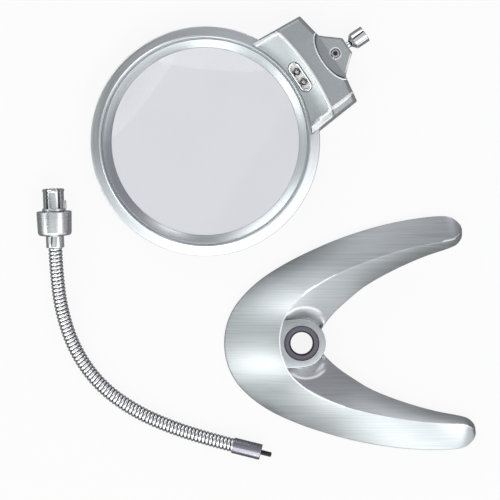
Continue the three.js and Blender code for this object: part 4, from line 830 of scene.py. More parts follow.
def coilTree():  # a tube whose skin follows one turn of wire after another
    tree = bpy.data.node_groups.new("coiledWire", "GeometryNodeTree")
    addInput(tree, "Geometry", "NodeSocketGeometry")
    for name in ["Radius", "Groove Depth", "Coil Pitch", "Ring Spacing", "Start Length"]:
        addInput(tree, name, "NodeSocketFloat")
    addInput(tree, "Around", "NodeSocketInt")
    addInput(tree, "Groove Start", "NodeSocketFloat")
    addInput(tree, "Material", "NodeSocketMaterial")
    addInput(tree, "Groove Material", "NodeSocketMaterial")
    tree.interface.new_socket("Geometry", in_out="OUTPUT", socket_type="NodeSocketGeometry")
    given = addNode(tree, "NodeGroupInput")
    upright = addNode(tree, "GeometryNodeSetCurveNormal", {"Curve": (given, "Geometry")}, mode="Z_UP")
    even = addNode(tree, "GeometryNodeResampleCurve", {
        "Curve": (upright, "Curve"), "Length": (given, "Ring Spacing"),
    }, mode="LENGTH")
    along = addNode(tree, "GeometryNodeSplineParameter")
    route = addNode(tree, "GeometryNodeCaptureAttribute", {"Geometry": (even, "Curve")}, domain="POINT")
    route.capture_items.new("FLOAT", "Length")
    tree.links.new(along.outputs["Length"], route.inputs["Length"])
    circle = addNode(tree, "GeometryNodeCurvePrimitiveCircle", {
        "Resolution": (given, "Around"), "Radius": (given, "Radius"),
    })
    ring = addNode(tree, "GeometryNodeCaptureAttribute", {"Geometry": (circle, "Curve")}, domain="POINT")
    ring.capture_items.new("FLOAT", "Factor")
    tree.links.new(along.outputs["Factor"], ring.inputs["Factor"])
    tube = addNode(tree, "GeometryNodeCurveToMesh", {
        "Curve": (route, "Geometry"), "Profile Curve": (ring, "Geometry"), "Fill Caps": True,
    })
    total = addNode(tree, "ShaderNodeMath", {0: (route, "Length"), 1: (given, "Start Length")})
    turns = addNode(tree, "ShaderNodeMath", {0: (total, "Value"), 1: (given, "Coil Pitch")}, operation="DIVIDE")
    wound = addNode(tree, "ShaderNodeMath", {0: (turns, "Value"), 1: (ring, "Factor")}, operation="SUBTRACT")
    phase = addNode(tree, "ShaderNodeMath", {0: (wound, "Value")}, operation="FRACT")
    across = addNode(tree, "ShaderNodeMath", {0: (phase, "Value"), 1: 2.0, 2: -1.0}, operation="MULTIPLY_ADD")
    size = addNode(tree, "ShaderNodeMath", {0: (across, "Value")}, operation="ABSOLUTE")
    valley = addNode(tree, "ShaderNodeMath", {0: (size, "Value"), 1: neck["valleyPower"]}, operation="POWER")
    depth = addNode(tree, "ShaderNodeMath", {0: (valley, "Value"), 1: (given, "Groove Depth")}, operation="MULTIPLY")
    share = addNode(tree, "ShaderNodeMath", {0: (depth, "Value"), 1: (given, "Radius")}, operation="DIVIDE")
    inward = addNode(tree, "ShaderNodeMath", {0: (share, "Value"), 1: -1.0}, operation="MULTIPLY")
    place = addNode(tree, "GeometryNodeInputPosition")
    route.capture_items.new("VECTOR", "Middle")
    tree.links.new(place.outputs["Position"], route.inputs["Middle"])
    spoke = addNode(tree, "ShaderNodeVectorMath", {
        0: (place, "Position"), 1: (route, "Middle"),
    }, operation="SUBTRACT")
    step = addNode(tree, "ShaderNodeVectorMath", {
        0: (spoke, "Vector"), "Scale": (inward, "Value"),
    }, operation="SCALE")
    pressed = addNode(tree, "GeometryNodeSetPosition", {"Geometry": (tube, "Mesh"), "Offset": (step, "Vector")})
    real = addNode(tree, "GeometryNodeRealizeInstances", {"Geometry": (pressed, "Geometry")})
    coated = addNode(tree, "GeometryNodeSetMaterial", {
        "Geometry": (real, "Geometry"), "Material": (given, "Material"),
    })
    # faces deep in a groove take the darker finish
    deep = addNode(tree, "ShaderNodeMath", {0: (size, "Value"), 1: (given, "Groove Start")}, operation="GREATER_THAN")
    shaded = addNode(tree, "GeometryNodeSetMaterial", {
        "Geometry": (coated, "Geometry"), "Selection": (deep, "Value"), "Material": (given, "Groove Material"),
    })
    addNode(tree, "NodeGroupOutput", {"Geometry": (shaded, "Geometry")})
    return tree


def grown(piece, tree, values):  # runs a tree on a piece, then keeps its result as a plain mesh
    change = piece.modifiers.new(tree.name, "NODES")
    change.node_group = tree
    for item in tree.interface.items_tree:
        if item.in_out == "INPUT" and item.name in values:
            change[item.identifier] = values[item.name]
    graph = bpy.context.evaluated_depsgraph_get()
    mesh = bpy.data.meshes.new_from_object(piece.evaluated_get(graph))
    mesh.name = piece.name
    result = linked(piece.name, mesh)
    bpy.data.objects.remove(piece)
    result.name = mesh.name
    return result


def pathPiece(name, points):  # an open path of points in mm, in the model's frame
    data = bpy.data.curves.new(name, "CURVE")
    data.dimensions = "3D"
    spline = data.splines.new("POLY")
    spline.points.add(len(points) - 1)
    for point, place in zip(spline.points, points):
        point.co = (*(Vector(place) / 1000), 1)
    return linked(name, data)


def coilPiece(name, points, startLength, sizes, finish, grooveFinish, sharpAngle=80):
    values = {key: value / 1000 for key, value in sizes.items() if key not in ("Around", "Groove Start")}
    values |= {"Around": sizes["Around"], "Groove Start": sizes["Groove Start"], "Start Length": startLength / 1000}
    values |= {"Material": finishes[finish], "Groove Material": finishes[grooveFinish]}
    piece = grown(pathPiece(name, points), wireTree, values)
    smoothed(piece.data, sharpAngle)
    return piece


wireTree = coilTree()


def buildGooseneck():
    links = len(neck["shares"])
    marks = [-neck["lowerReach"]] + [linkLength * (k + 0.5) for k in range(1, links - 1)]
    marks.append(neck["length"] + neck["upperReach"])
    for k in range(links - 1):
        low, high = marks[k], marks[k + 1]
        count = max(2, round((high - low) / neck["pointSpacing"]))
        points = [neckFrame(low + (high - low) * i / count).translation for i in range(count + 1)]
        piece = coilPiece(f"coiledNeck.{k + 1}", points, low - marks[0], neck["coil"], "chromePlate", "grooveChrome")
        start = neckFrame(linkLength * (k + 0.5)).translation / 1000
        end = neckFrame(linkLength * (k + 1.5)).translation / 1000
        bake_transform(piece)
        replaced = [f"gooseneck_{k + 1}"] + ([f"gooseneck_{links}"] if k == links - 2 else [])
        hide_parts(*replaced)


plug = {
    "segments": 96,
    "ferruleRadius": 5.25, "ferruleLength": 6.7, "ferruleStem": 3.4, "neckBore": 4.35,
    "collarRadius": 10.2, "collarLength": 14, "collarTaper": 0.45, "collarRound": 1.6, "collarBore": 5,
    "colletRadius": 6.05, "colletBore": 4.1, "colletFlange": 0.75, "flangeHeight": 1.4, "colletReach": 12.7,
    "hook": 0.5, "hookHeight": 1.6, "slot": 1.5, "slotTurn": 55, "stem": 8, "tipRound": 0.5,
    "ear": 1.6, "earReach": 7.3, "earHeight": 4.4,
}
plugPlace = armPlace @ Matrix.Rotation(math.pi, 4, "Z") @ Matrix.Rotation(math.pi / 2, 4, "Y")
finishes["collarNickel"] = turnedNickel("collarNickel", plugPlace.to_3x3() @ Vector((0, 0, 1)), "#D0D3D4", "#DDDFE0")


def buildPlug():
    top = plug["ferruleLength"]
    ferrule = turnedPiece("lowerFerrule", [
        (plug["neckBore"], top), (plug["neckBore"], 0), (plug["ferruleRadius"], 0), (plug["ferruleRadius"], top),
        (plug["collarBore"] - gap, top), (plug["collarBore"] - gap, top + plug["ferruleStem"]),
        (plug["neckBore"] - 0.6, top + plug["ferruleStem"]), (plug["neckBore"] - 0.6, top),
    ], [0.1, 0.3, 0.5, 0.3, 0.1, 0.3, 0.3, 0.1], plug["segments"], plugPlace, closed=True)
    finished(ferrule, "chromePlate", "chrome_plate", "plug", "arm_lower_ferrule")

    low = top + gap
    high = low + plug["collarLength"]
    outer, wide = plug["collarRadius"] - plug["collarTaper"], plug["collarRadius"]
    collar = turnedPiece("snapCollar", [
        (plug["collarBore"], low), (outer, low), (wide, high), (plug["collarBore"], high),
    ], [0.3, plug["collarRound"] * 1.5, 0.5, 0.3], plug["segments"], plugPlace, closed=True, steps=8)
    finished(collar, "collarNickel", "satin_nickel", "plug", "arm_collar")

    start = high + gap
    rise, reach, radius = plug["flangeHeight"], plug["colletReach"], plug["colletRadius"]
    collet = turnedPiece("snapCollet", [
        (plug["colletBore"], start - plug["stem"]), (plug["collarBore"] - gap, start - plug["stem"]),
        (plug["collarBore"] - gap, start), (radius + plug["colletFlange"], start),
        (radius + plug["colletFlange"], start + rise), (radius, start + rise),
        (radius, start + reach - plug["hookHeight"]),
        (radius + plug["hook"], start + reach - plug["hookHeight"] * 2 / 3), (radius, start + reach),
        (plug["colletBore"], start + reach),
    ], [0.3, 0.3, 0.1, 0.25, 0.25, 0.3, 0.3, 0.4, plug["tipRound"], 0.5], plug["segments"], plugPlace, closed=True)
    for turn in (plug["slotTurn"], -plug["slotTurn"]):
        slot = boxed(-plug["slot"] / 2, plug["slot"] / 2, -12, 12, start + rise, start + reach + 5)
        cut(collet, slot, plugPlace @ Matrix.Rotation(math.radians(turn), 4, "Z"))
    ear, reach = plug["ear"], plug["earReach"]
    block = boxed(-ear / 2, ear / 2, -reach, -radius + 0.5, start + rise / 2, start + rise + plug["earHeight"])
    lug = makePiece("lug", *block, plugPlace)
    bevelled(lug, 0.3)
    carve(collet, lug, "UNION")
    smoothed(collet.data, 32)
    finished(collet, "collarNickel", "satin_nickel", "plug", "arm_collet")


def boxed(x0, x1, y0, y1, z0, z1):
    return standing([(x0, y0), (x1, y0), (x1, y1), (x0, y1)], z0, z1)


tip = {
    "radius": 4.6, "length": 16.7, "grip": 8, "bore": 4.35, "edge": 0.5, "studSeat": 5, "studLength": 6.2,
    "thread": {"Radius": 1.5, "Groove Depth": 0.28, "Coil Pitch": 0.5, "Ring Spacing": 0.05, "Around": 32,
               "Groove Start": 0.8},
    "pilot": 1.15,
}
tipFrame = neckFrame(neck["length"])
tipPlace = tipFrame @ Matrix.Rotation(math.pi / 2, 4, "Y")
finishes["ferruleNickel"] = turnedNickel("ferruleNickel", tipPlace.to_3x3() @ Vector((0, 0, 1)), "#93929A", "#A1A0A8")


def buildTip():
    seat, length = tip["length"] - tip["studSeat"], tip["length"]
    ferrule = turnedPiece("upperFerrule", [
        (0, tip["grip"] + 0.3), (tip["bore"], tip["grip"] + 0.3), (tip["bore"], 0), (tip["radius"], 0),
        (tip["radius"], length), (tip["thread"]["Radius"] + 0.3, length), (tip["thread"]["Radius"] + 0.3, seat),
        (0, seat),
    ], [0, 0.2, 0.1, 0.4, tip["edge"], 0.2, 0.2, 0], plug["segments"], tipPlace)
    finished(ferrule, "ferruleNickel", "satin_nickel", "neck_tip", "arm_upper_ferrule")
    low, high = seat + 0.3, length + tip["studLength"]
    points = [(tipFrame @ Matrix.Translation((along, 0, 0))).translation for along in
              [low + (high - 0.45 - low) * k / 8 for k in range(9)]]
    rod = coilPiece("threadedStud", points, 0, tip["thread"], "blackOxideSteel", "blackOxideSteel", 45)
    end = turnedPiece("studEnd", [
        (0, high - 1.2), (tip["pilot"] + 0.05, high - 1.2), (tip["pilot"] + 0.05, high), (0, high),
    ], [0, 0.1, 0.2, 0], 48, tipPlace)
    carve(rod, end, "UNION")
    smoothed(rod.data, 40)
    finished(rod, "blackOxideSteel", "black_steel", "neck_tip", "arm_stud")


buildGooseneck()
buildPlug()
buildTip()
print("arm ready")


# Lamp housing: a dished front shell over the ring, a plateau behind a curved ridge, and a rear shell
housing = {
    "nearX": 54.1, "reach": 88, "halfNear": 30.6, "halfFar": 27.9, "flatHalf": 13.8, "corner": 2.6,
    "draft": 1.8, "farDraft": 0.33, "top": 21.8, "lip": 16.6, "lipBottom": 14.7, "parting": 11.3,
    "dishPower": 1.5, "dishSteps": 14, "ridgeX": 72.7, "ridgeRadius": 130, "ridgeStep": 0.8,
    "shoulderTop": 19.9, "shoulderWidth": 2, "shoulderDrop": 2.3, "sideBevel": 1, "floor": 0.9,
    "barShare": 0.95, "dishShare": 0.92, "stations": 44, "edgeRound": 0.4,
    "screwShares": ((0.47, 0.975), (0.47, -0.975), (0.87, 0.977), (0.87, -0.977)),
    "lipRadius": 61.6, "flangeClear": 66.65, "ringClear": 63.35,
    "lowBevel": 2.4, "lowShare": 0.885, "lowDish": 0.86,
}
# raised welts along the front shell: share is of its half width, drop how far a middle lies under its skin
beads = [
    {"share": -0.885, "from": 71.4, "to": 84.6, "drop": 0.25, "radius": 1.0},
    {"share": -0.885, "from": 62.8, "to": 69.4, "drop": 0.2, "radius": 0.8},
    {"share": -0.985, "from": 54.8, "to": 69.5, "drop": 2.2, "radius": 0.5},
    {"share": 0.955, "from": 55.0, "to": 69.6, "drop": 0.15, "radius": 0.7},
]
ridgeBead = {"radius": 0.95, "low": -0.87, "high": 0.93, "steps": 40, "drop": 0.4}
cells = {
    "radius": 5.1, "length": 43.3, "nub": 1.2, "nubRadius": 1.9, "height": 6.9, "gap": 0.2, "half": 24.9,
    "ceiling": 12.4, "first": 69.9, "second": 80.3, "contact": 0.5, "contactHeight": 8,
    "band": 11, "crimp": 1, "crimpRise": 0.15, "sealDepth": 0.3,
    "spring": {"Radius": 3.0, "Tip": 1.9, "Wire": 0.32, "Turns": 3.5},
}
door = {"thickness": 1.2, "height": 0.2, "rim": 0.6, "corner": 1.2, "gripLength": 14, "gripWidth": 1, "grips": 5,
        "round": 0.25}
lampWindow = {"along": 0.396, "halfLength": 9.85, "halfWidth": 4.1, "depth": 1.7, "rim": 1.35, "proud": 0.5}
jaw = {
    "ballX": 96, "halfNear": 14, "halfFar": 5, "top": 15.8, "rootTop": 19.2, "rootBottom": 14.3, "bevel": 1.2,
    "rootX": 88.8, "rootLength": 7, "rootHalf": 16, "endX": 98.8, "height": 10,
    "clampX": 90.5, "clampRecess": 3, "clampHead": 2.4, "clampHeadHeight": 2.2, "clampShaft": 0.95,
    "clampHex": 1.5, "clampHexDepth": 1.2, "nutRadius": 1.95, "nutHeight": 1.8, "ball": 3.2,
    "mouthLean": 20, "mouthDepth": 4.8, "headSunk": 0.4,
    "rootShares": (0.01, 0.03, 0.06, 0.1, 0.15, 0.22, 0.3, 0.4, 0.52, 0.65, 0.8, 1),
    "lipWire": 0.75, "rimWire": 0.5, "edgeWire": 0.5,
}


def leanAt(height):
    return housing["draft"] * (housing["top"] - height) / housing["top"]


def halfWidth(x):
    share = (x - housing["nearX"]) / (housing["reach"] - housing["nearX"])
    return housing["halfNear"] + (housing["halfFar"] - housing["halfNear"]) * share


def farEnd(aside):
    past = max(0, abs(aside) - housing["flatHalf"]) / (housing["halfFar"] - housing["flatHalf"])
    return housing["reach"] - housing["corner"] * min(1, past)


def arcMeets(radius, share):
    aside = share * housing["halfNear"]
    for _ in range(4):
        aside = share * halfWidth(math.sqrt(radius * radius - aside * aside))
    return math.sqrt(radius * radius - aside * aside)


def ridgeAt(share):
    aside = share * halfWidth(housing["ridgeX"])
    return housing["ridgeX"] - housing["ridgeRadius"] + math.sqrt(housing["ridgeRadius"] ** 2 - aside ** 2)


def housingPoint(share, x, height):
    return (x, share * (halfWidth(x) + leanAt(height)), height)


def frontStation(share, dished, bevel):
    ridge, inner = ridgeAt(share), arcMeets(housing["lipRadius"], share)
    far = farEnd(share * halfWidth(housing["reach"]))
    rise = housing["top"] - housing["lip"]
    outline = [(inner, housing["lipBottom"])]
    for k in range(housing["dishSteps"] + 1):
        along = k / housing["dishSteps"]
        height = housing["lip"] + rise * (along ** housing["dishPower"] if dished else along)
        outline.append((inner + (ridge - inner) * along, height - bevel))
    outline.append((ridge + housing["ridgeStep"], housing["top"] - housing["ridgeStep"] - bevel))
    outline.append((far - housing["shoulderWidth"], housing["shoulderTop"] - bevel))
    outline.append((far, housing["shoulderTop"] - housing["shoulderDrop"] - bevel))
    outline.append((far + housing["farDraft"] * leanAt(housing["parting"]), housing["parting"] + 0.15))
    outline.append((arcMeets(housing["flangeClear"], share), housing["parting"] + 0.15))
    outline.append((arcMeets(housing["flangeClear"], share), housing["lipBottom"]))
    return [housingPoint(share, x, height) for x, height in outline]


def rearStation(share, bevel):
    far, inner = farEnd(share * halfWidth(housing["reach"])), arcMeets(housing["ringClear"], share)
    top, floor = housing["parting"] - 0.15, housing["floor"]
    foot = far + housing["farDraft"] * leanAt(0)
    outline = [
        (inner, floor), (inner + floor, bevel), (foot - floor, bevel), (foot, floor + bevel / 2),
        (far + housing["farDraft"] * leanAt(top), top), (inner, top),
    ]
    return [housingPoint(share, x, height) for x, height in outline]


def stationShares():  # the corners of the far end and the bars' edges fall on stations
    reach = housing["dishShare"]
    shares = [reach * (2 * k / housing["stations"] - 1) for k in range(housing["stations"] + 1)]
    corner = housing["flatHalf"] / housing["halfFar"]
    for target in (-corner, corner):
        nearest = min(range(len(shares)), key=lambda k: abs(shares[k] - target))
        shares[nearest] = target
    return shares


def frontShell():
    bar, low = housing["barShare"], housing["lowShare"]
    stations = [frontStation(-1, False, housing["lowBevel"]), frontStation(-low, False, 0)]
    stations += [frontStation(share, True, 0) for share in stationShares() if share >= -housing["lowDish"]]
    stations += [frontStation(bar, False, 0), frontStation(1, False, housing["sideBevel"])]
    return lofted(stations)


def rearShell():
    bar = housing["barShare"]
    stations = [rearStation(-1, housing["floor"]), rearStation(-bar, 0)]
    stations += [rearStation(share, 0) for share in stationShares()]
    stations += [rearStation(bar, 0), rearStation(1, housing["floor"])]
    return lofted(stations)


def stadium(halfLength, half, steps=24):  # an oval slot's outline, long along Y
    straight = halfLength - half
    points = []
    for side, start in ((1, 0), (-1, 180)):
        for k in range(steps + 1):
            turn = math.radians(start + 180 * k / steps)
            points.append((half * math.cos(turn), side * straight + half * math.sin(turn)))
    return points


lampSpan = housing["ridgeX"] - housing["lipRadius"]
lampSlope = math.atan(
    housing["dishPower"] * (housing["top"] - housing["lip"])
    * lampWindow["along"] ** (housing["dishPower"] - 1) / lampSpan
)
lampHeight = housing["lip"] + (housing["top"] - housing["lip"]) * lampWindow["along"] ** housing["dishPower"]
lampPlace = (
    onHead(housing["lipRadius"] + lampSpan * lampWindow["along"], 0, lampHeight)
    @ Matrix.Rotation(-lampSlope, 4, "Y")
)


def jawRootOutline(grow, steps=48):
    length, half = jaw["rootLength"] + grow, jaw["rootHalf"] + grow
    turns = [math.radians(90 + 180 * k / steps) for k in range(steps + 1)]
    curve = [(jaw["rootX"] + length * math.cos(turn), half * math.sin(turn)) for turn in turns]
    return curve + [(housing["reach"] + 4, -half), (housing["reach"] + 4, half)]


def cutPost(piece, radius, low, high, segments=64):
    cut(piece, disc(radius, low, high, segments), onHead(jaw["clampX"]))


def plateauHeight(x, share=0.3):  # the plateau's height between the ridge and the far shoulder
    start = ridgeAt(share) + housing["ridgeStep"]
    end = housing["reach"] - housing["shoulderWidth"]
    fall = housing["top"] - housing["ridgeStep"] - housing["shoulderTop"]
    return housing["top"] - housing["ridgeStep"] - fall * min(1, max(0, (x - start) / (end - start)))


def tube(points, radius, around=16):  # a round bar along a path, thinned at its two ends
    sections = []
    path = [Vector(point) for point in points]
    for k, point in enumerate(path):
        thinned = radius * min(1, 0.35 + 0.25 * min(k, len(path) - 1 - k))
        ahead = (path[min(k + 1, len(path) - 1)] - path[max(k - 1, 0)]).normalized()
        aside = ahead.cross(Vector((0, 0, 1))).normalized()
        up = aside.cross(ahead)
        sections.append([
            tuple(point + thinned * (aside * math.cos(turn) + up * math.sin(turn)))
            for turn in [math.tau * i / around for i in range(around)]
        ])
    return lofted(sections)


def edgeHeight(x, share):  # the front shell's height along its raised sides, which have no dish
    inner, ridge = arcMeets(housing["lipRadius"], share), ridgeAt(share)
    if x > ridge:
        return plateauHeight(x, share)
    return housing["lip"] + (housing["top"] - housing["lip"]) * max(0, x - inner) / (ridge - inner)


def coatWelts(piece, welts):  # faces near each welt's path take its finish, a painted highlight
    names = sorted({finish for path, radius, finish in welts})
    for name in names:
        piece.data.materials.append(finishes[name])
    back = headPlace.inverted()
    corners = [back @ (vertex.co * 1000) for vertex in piece.data.vertices]
    for path, radius, finish in welts:
        line = KDTree(4 * len(path))
        for k, (a, b) in enumerate(zip(path, path[1:])):
            for part in range(4):
                line.insert(Vector(a).lerp(Vector(b), part / 4), 4 * k + part)
        line.balance()
        near = [line.find(corner)[2] < radius * 3 for corner in corners]
        for face in piece.data.polygons:
            if all(near[index] for index in face.vertices):
                if line.find(back @ (face.center * 1000))[2] < radius * 1.06:
                    face.material_index = 1 + names.index(finish)


def addBeads(front):
    welts = []
    for bead in beads:
        start, end = bead["from"], bead["to"]
        xs = [start + (end - start) * k / 12 for k in range(13)]
        path = [(x, bead["share"] * halfWidth(x), edgeHeight(x, bead["share"]) - bead["drop"]) for x in xs]
        join(front, tube(path, bead["radius"]), headPlace)
        welts.append((path, bead["radius"], "buffedLacquer"))
    low, high, steps = ridgeBead["low"], ridgeBead["high"], ridgeBead["steps"]
    shares = [low + (high - low) * k / steps for k in range(steps + 1)]
    path = [(ridgeAt(share), share * halfWidth(ridgeAt(share)), housing["top"] - ridgeBead["drop"]) for share in shares]
    join(front, tube(path, ridgeBead["radius"]), headPlace)
    welts.append((path, ridgeBead["radius"], "buffedLacquer"))
    return welts


def buildHousing():
    front = makePiece("frontShell", *frontShell(), headPlace)
    bevelled(front, housing["edgeRound"], angle=22, segments=3)
    low = housing["parting"] - 2
    chord = math.sqrt(cells["radius"] ** 2 - (housing["parting"] - cells["height"]) ** 2) + gap
    upper = boxed(cells["first"] - chord, cells["second"] + chord, -cells["half"], cells["half"], low, cells["ceiling"])
    cut(front, upper, headPlace)
    window = standing(stadium(lampWindow["halfLength"], lampWindow["halfWidth"]), -lampWindow["depth"], 4)
    cut(front, window, lampPlace)
    welts = addBeads(front)
    lip = [(x, y, plateauHeight(x)) for x, y in jawRootOutline(0.2)[2:-4]]
    join(front, tube(lip, jaw["lipWire"]), headPlace)
    # a paler painted highlight lines the jaw's seat
    welts.append((lip, jaw["lipWire"], "wornLacquer"))
    recess = standing(jawRootOutline(0), jaw["rootBottom"] - gap, housing["top"] + 3)
    cut(front, recess, headPlace)
    cutPost(front, jaw["clampRecess"], housing["lipBottom"] - jaw["clampHeadHeight"], housing["top"])
    smoothed(front.data, 30)
    finished(front, "silverLacquer", "silver_paint", "head", "housing_front")
    coatWelts(front, welts)

    rear = makePiece("rearShell", *rearShell(), headPlace)
    bevelled(rear, housing["edgeRound"], angle=25, segments=3)
    near = cells["first"] - cells["radius"] - cells["gap"]
    far = cells["second"] + cells["radius"] + cells["gap"]
    doorHigh = door["height"] + door["thickness"]
    room = boxed(near, far, -cells["half"], cells["half"], doorHigh, housing["parting"] + 2)
    cut(rear, room, headPlace)
    rim = cells["half"] + door["rim"]
    opening = boxed(near - door["rim"], housing["reach"] + 4, -rim, rim, -2, doorHigh + gap)
    cut(rear, opening, headPlace)
    x, y, z = switch["x"], switch["y"], switch["height"]
    long, wide, deep = switch["length"] / 2, switch["width"] / 2, switch["pocket"] + switch["body"]
    cut(rear, boxed(x - long, x + long, y - deep, y + 2, z - wide, z + wide), headPlace)
    for at in housingScrewPlaces:
        cut(rear, screwRecess("shell", 32), onHead(*at))
    smoothed(rear.data, 30)
    finished(rear, "silverLacquer", "silver_paint", "head", "housing_rear")


housingScrewPlaces = []
for along, aside in housing["screwShares"]:
    screwX = housing["nearX"] + (housing["reach"] - housing["nearX"]) * along
    housingScrewPlaces.append((screwX, halfWidth(screwX) * aside))
switch = {"x": 77, "height": 5.2, "length": 9, "width": 4, "pocket": 1.4, "body": 1.7, "knob": 3.4, "travel": 2,
          "setback": 0.3, "grips": 4, "gripPitch": 0.8, "grip": 0.4}
switch["y"] = halfWidth(switch["x"]) + leanAt(switch["height"])


def buildSwitch():
    inner = switch["y"] - switch["pocket"] - switch["body"] + gap
    long, wide = switch["length"] / 2 - gap, switch["width"] / 2 - gap
    x, z = switch["x"], switch["height"]
    shape = boxed(x - long, x + long, inner, inner + switch["body"] - gap * 2, z - wide, z + wide)
    body = makePiece("switchBody", *shape, headPlace)
    bevelled(body, 0.2)
    finished(body, "switchPlastic", "switch_plastic", "head", "switch_body")
    middle = x - switch["travel"] / 2
    low, high = inner + switch["body"] - gap, switch["y"] - switch["setback"]
    half = switch["knob"] / 2
    knob = makePiece("switchKnob", *boxed(middle - half, middle + half, low, high, z - wide, z + wide), headPlace)
    for k in range(switch["grips"]):
        at, grip = middle + (k - (switch["grips"] - 1) / 2) * switch["gripPitch"], switch["grip"]
        cut(knob, boxed(at - grip / 2, at + grip / 2, high - grip, high + 1, z - 3, z + 3), headPlace)
    bevelled(knob, 0.08)
    finished(knob, "switchPlastic", "switch_plastic", "switch_knob", "switch_knob")


def jawHalf(x):
    along, length = x - housing["reach"], jaw["endX"] - housing["reach"]
    return jaw["halfNear"] + (jaw["halfFar"] - jaw["halfNear"]) * along / length


def jawSection(x, half, low, high):
    bevel = min(jaw["bevel"], half / 2)
    return [
        (x, -half, low), (x, half, low), (x, half, high - bevel), (x, half - bevel, high),
        (x, -half + bevel, high), (x, -half, high - bevel),
    ]


jawBack = housing["reach"] + housing["farDraft"] * leanAt(0) + gap


def jawNose(low, high):
    xs = [jawBack, jaw["ballX"], jaw["endX"] - jaw["bevel"], jaw["endX"]]
    return lofted([jawSection(x, jawHalf(x), low, high - drop) for x, drop in zip(xs, (0, 0, 0, jaw["bevel"]))])


def jawRoot():
    start, end = jaw["rootX"] - jaw["rootLength"] + gap, housing["reach"]
    sections = []
    for share in jaw["rootShares"]:
        x = start + (end - start) * share
        across = (jaw["rootX"] - x) / (jaw["rootLength"] - gap)
        half = (jaw["rootHalf"] - gap) * math.sqrt(max(0, 1 - across * across))
        sections.append(jawSection(x, half, jaw["rootBottom"], jaw["rootTop"] + (jaw["top"] - jaw["rootTop"]) * share))
    sections.append(jawSection(end + 0.3, jaw["halfNear"], jaw["rootBottom"], jaw["top"]))
    sections.append(jawSection(jawBack + 2, jawHalf(jawBack + 2), jaw["rootBottom"], jaw["top"]))
    return lofted(sections)


def cutCavity(piece):  # the ball's seat, and the mouth in which its neck can lean
    ball = ellipsoid((jaw["ballX"], 0, jaw["height"]), [jaw["ball"] + gap] * 3, 48, 24)
    cut(piece, ball, headPlace)
    lean, deep = math.radians(jaw["mouthLean"]), jaw["mouthDepth"]
    narrow = (stud["waist"] + gap) / math.cos(lean)
    cut(piece, turned([(0, 0), (narrow, 0), (narrow + deep * math.tan(lean), deep), (0, deep)], 48), ballPlace)


stud = {
    "waist": 1.8, "flareX": 4.6, "sleeveX": 7.5, "sleeve": 4.9, "length": 7.9, "bore": 1.65, "boreDepth": 6.5,
    "chamfer": 0.5, "segments": 96,
}
ballPlace = onHead(jaw["ballX"], 0, jaw["height"]) @ Matrix.Rotation(math.pi / 2, 4, "Y")


def buildJaws():
    top = jaw["top"]
    front = makePiece("frontJaw", *jawNose(jaw["height"] + gap / 2, top), headPlace)
    join(front, jawRoot(), headPlace)
    headTop = top - jaw["headSunk"]
    headLow = headTop - jaw["clampHeadHeight"]
    cutCavity(front)
    cutPost(front, jaw["clampShaft"] + gap, -2, 24, 32)
    cutPost(front, jaw["clampRecess"], headLow - gap, 24)
    wire, radius = jaw["rimWire"], jaw["clampRecess"] + jaw["rimWire"] * 0.6
    loop = [(radius + wire * math.cos(turn), top - wire * 0.2 + wire * math.sin(turn))
            for turn in [math.tau * k / 16 for k in range(16)]]
    join(front, turned(loop, 64), onHead(jaw["clampX"]))
    start, end = housing["reach"] + 0.6, jaw["endX"] - 0.6
    xs = [start + (end - start) * k / 8 for k in range(9)]
    edge = [(x, -jawHalf(x) + 0.75, top - 0.4) for x in xs]
    join(front, tube(edge, jaw["edgeWire"]), headPlace)
    smoothed(front.data, 30)
    finished(front, "silverLacquer", "silver_paint", "head", "socket_front_jaw")
    turns = [math.tau * k / 48 for k in range(49)]
    circle = [(jaw["clampX"] + radius * math.cos(turn), radius * math.sin(turn), top - wire * 0.2) for turn in turns]
    # the jaw's edge and the ring round the clamp screw take painted highlights
    coatWelts(front, [(edge, jaw["edgeWire"], "buffedLacquer"), (circle, wire, "wornLacquer")])

    flipped = onHead(0, 0, jaw["height"] * 2) @ Matrix.Rotation(math.pi, 4, "X")
    rear = makePiece("rearJaw", *jawNose(jaw["height"] + gap / 2, top), flipped)
    nutLow = jaw["height"] * 2 - top + gap
    nutHigh = nutLow + jaw["nutHeight"]
    cutCavity(rear)
    cutPost(rear, jaw["clampShaft"] + gap, -2, 24, 32)
    cutPost(rear, jaw["nutRadius"] + gap, -2, nutHigh + gap, 6)
    smoothed(rear.data, 30)
    finished(rear, "silverLacquer", "silver_paint", "head", "socket_rear_jaw")

    place = onHead(jaw["clampX"])
    screw = turnedPiece("clampScrew", [
        (0, nutLow), (jaw["clampShaft"], nutLow), (jaw["clampShaft"], headLow), (jaw["clampHead"], headLow),
        (jaw["clampHead"], headTop), (0, headTop),
    ], [0, 0.2, 0.1, 0.2, 0.35, 0], 64, place)
    cutPost(screw, jaw["clampHex"], headTop - jaw["clampHexDepth"], headTop + 2, 6)
    smoothed(screw.data, 30)

    def inSocket(centre, normal):  # the socket takes the dark black oxide
        deep = headTop - jaw["clampHexDepth"] - 0.1 < centre.z < headTop - 0.02
        return deep and centre.xy.length < jaw["clampHex"]

    finished(screw, "screwSteel", "black_steel", "clamp_screw", "clamp_screw")
    painted(screw, place, inSocket, "blackOxideSteel")
    nut = makePiece("clampNut", *disc(jaw["nutRadius"], nutLow, nutHigh, 6), place)
    cutPost(nut, jaw["clampShaft"] + gap / 2, -2, nutHigh + 2, 32)
    bevelled(nut, 0.12, angle=40, segments=2)
    finished(nut, "zincSteel", "bright_steel", "head", "clamp_nut")


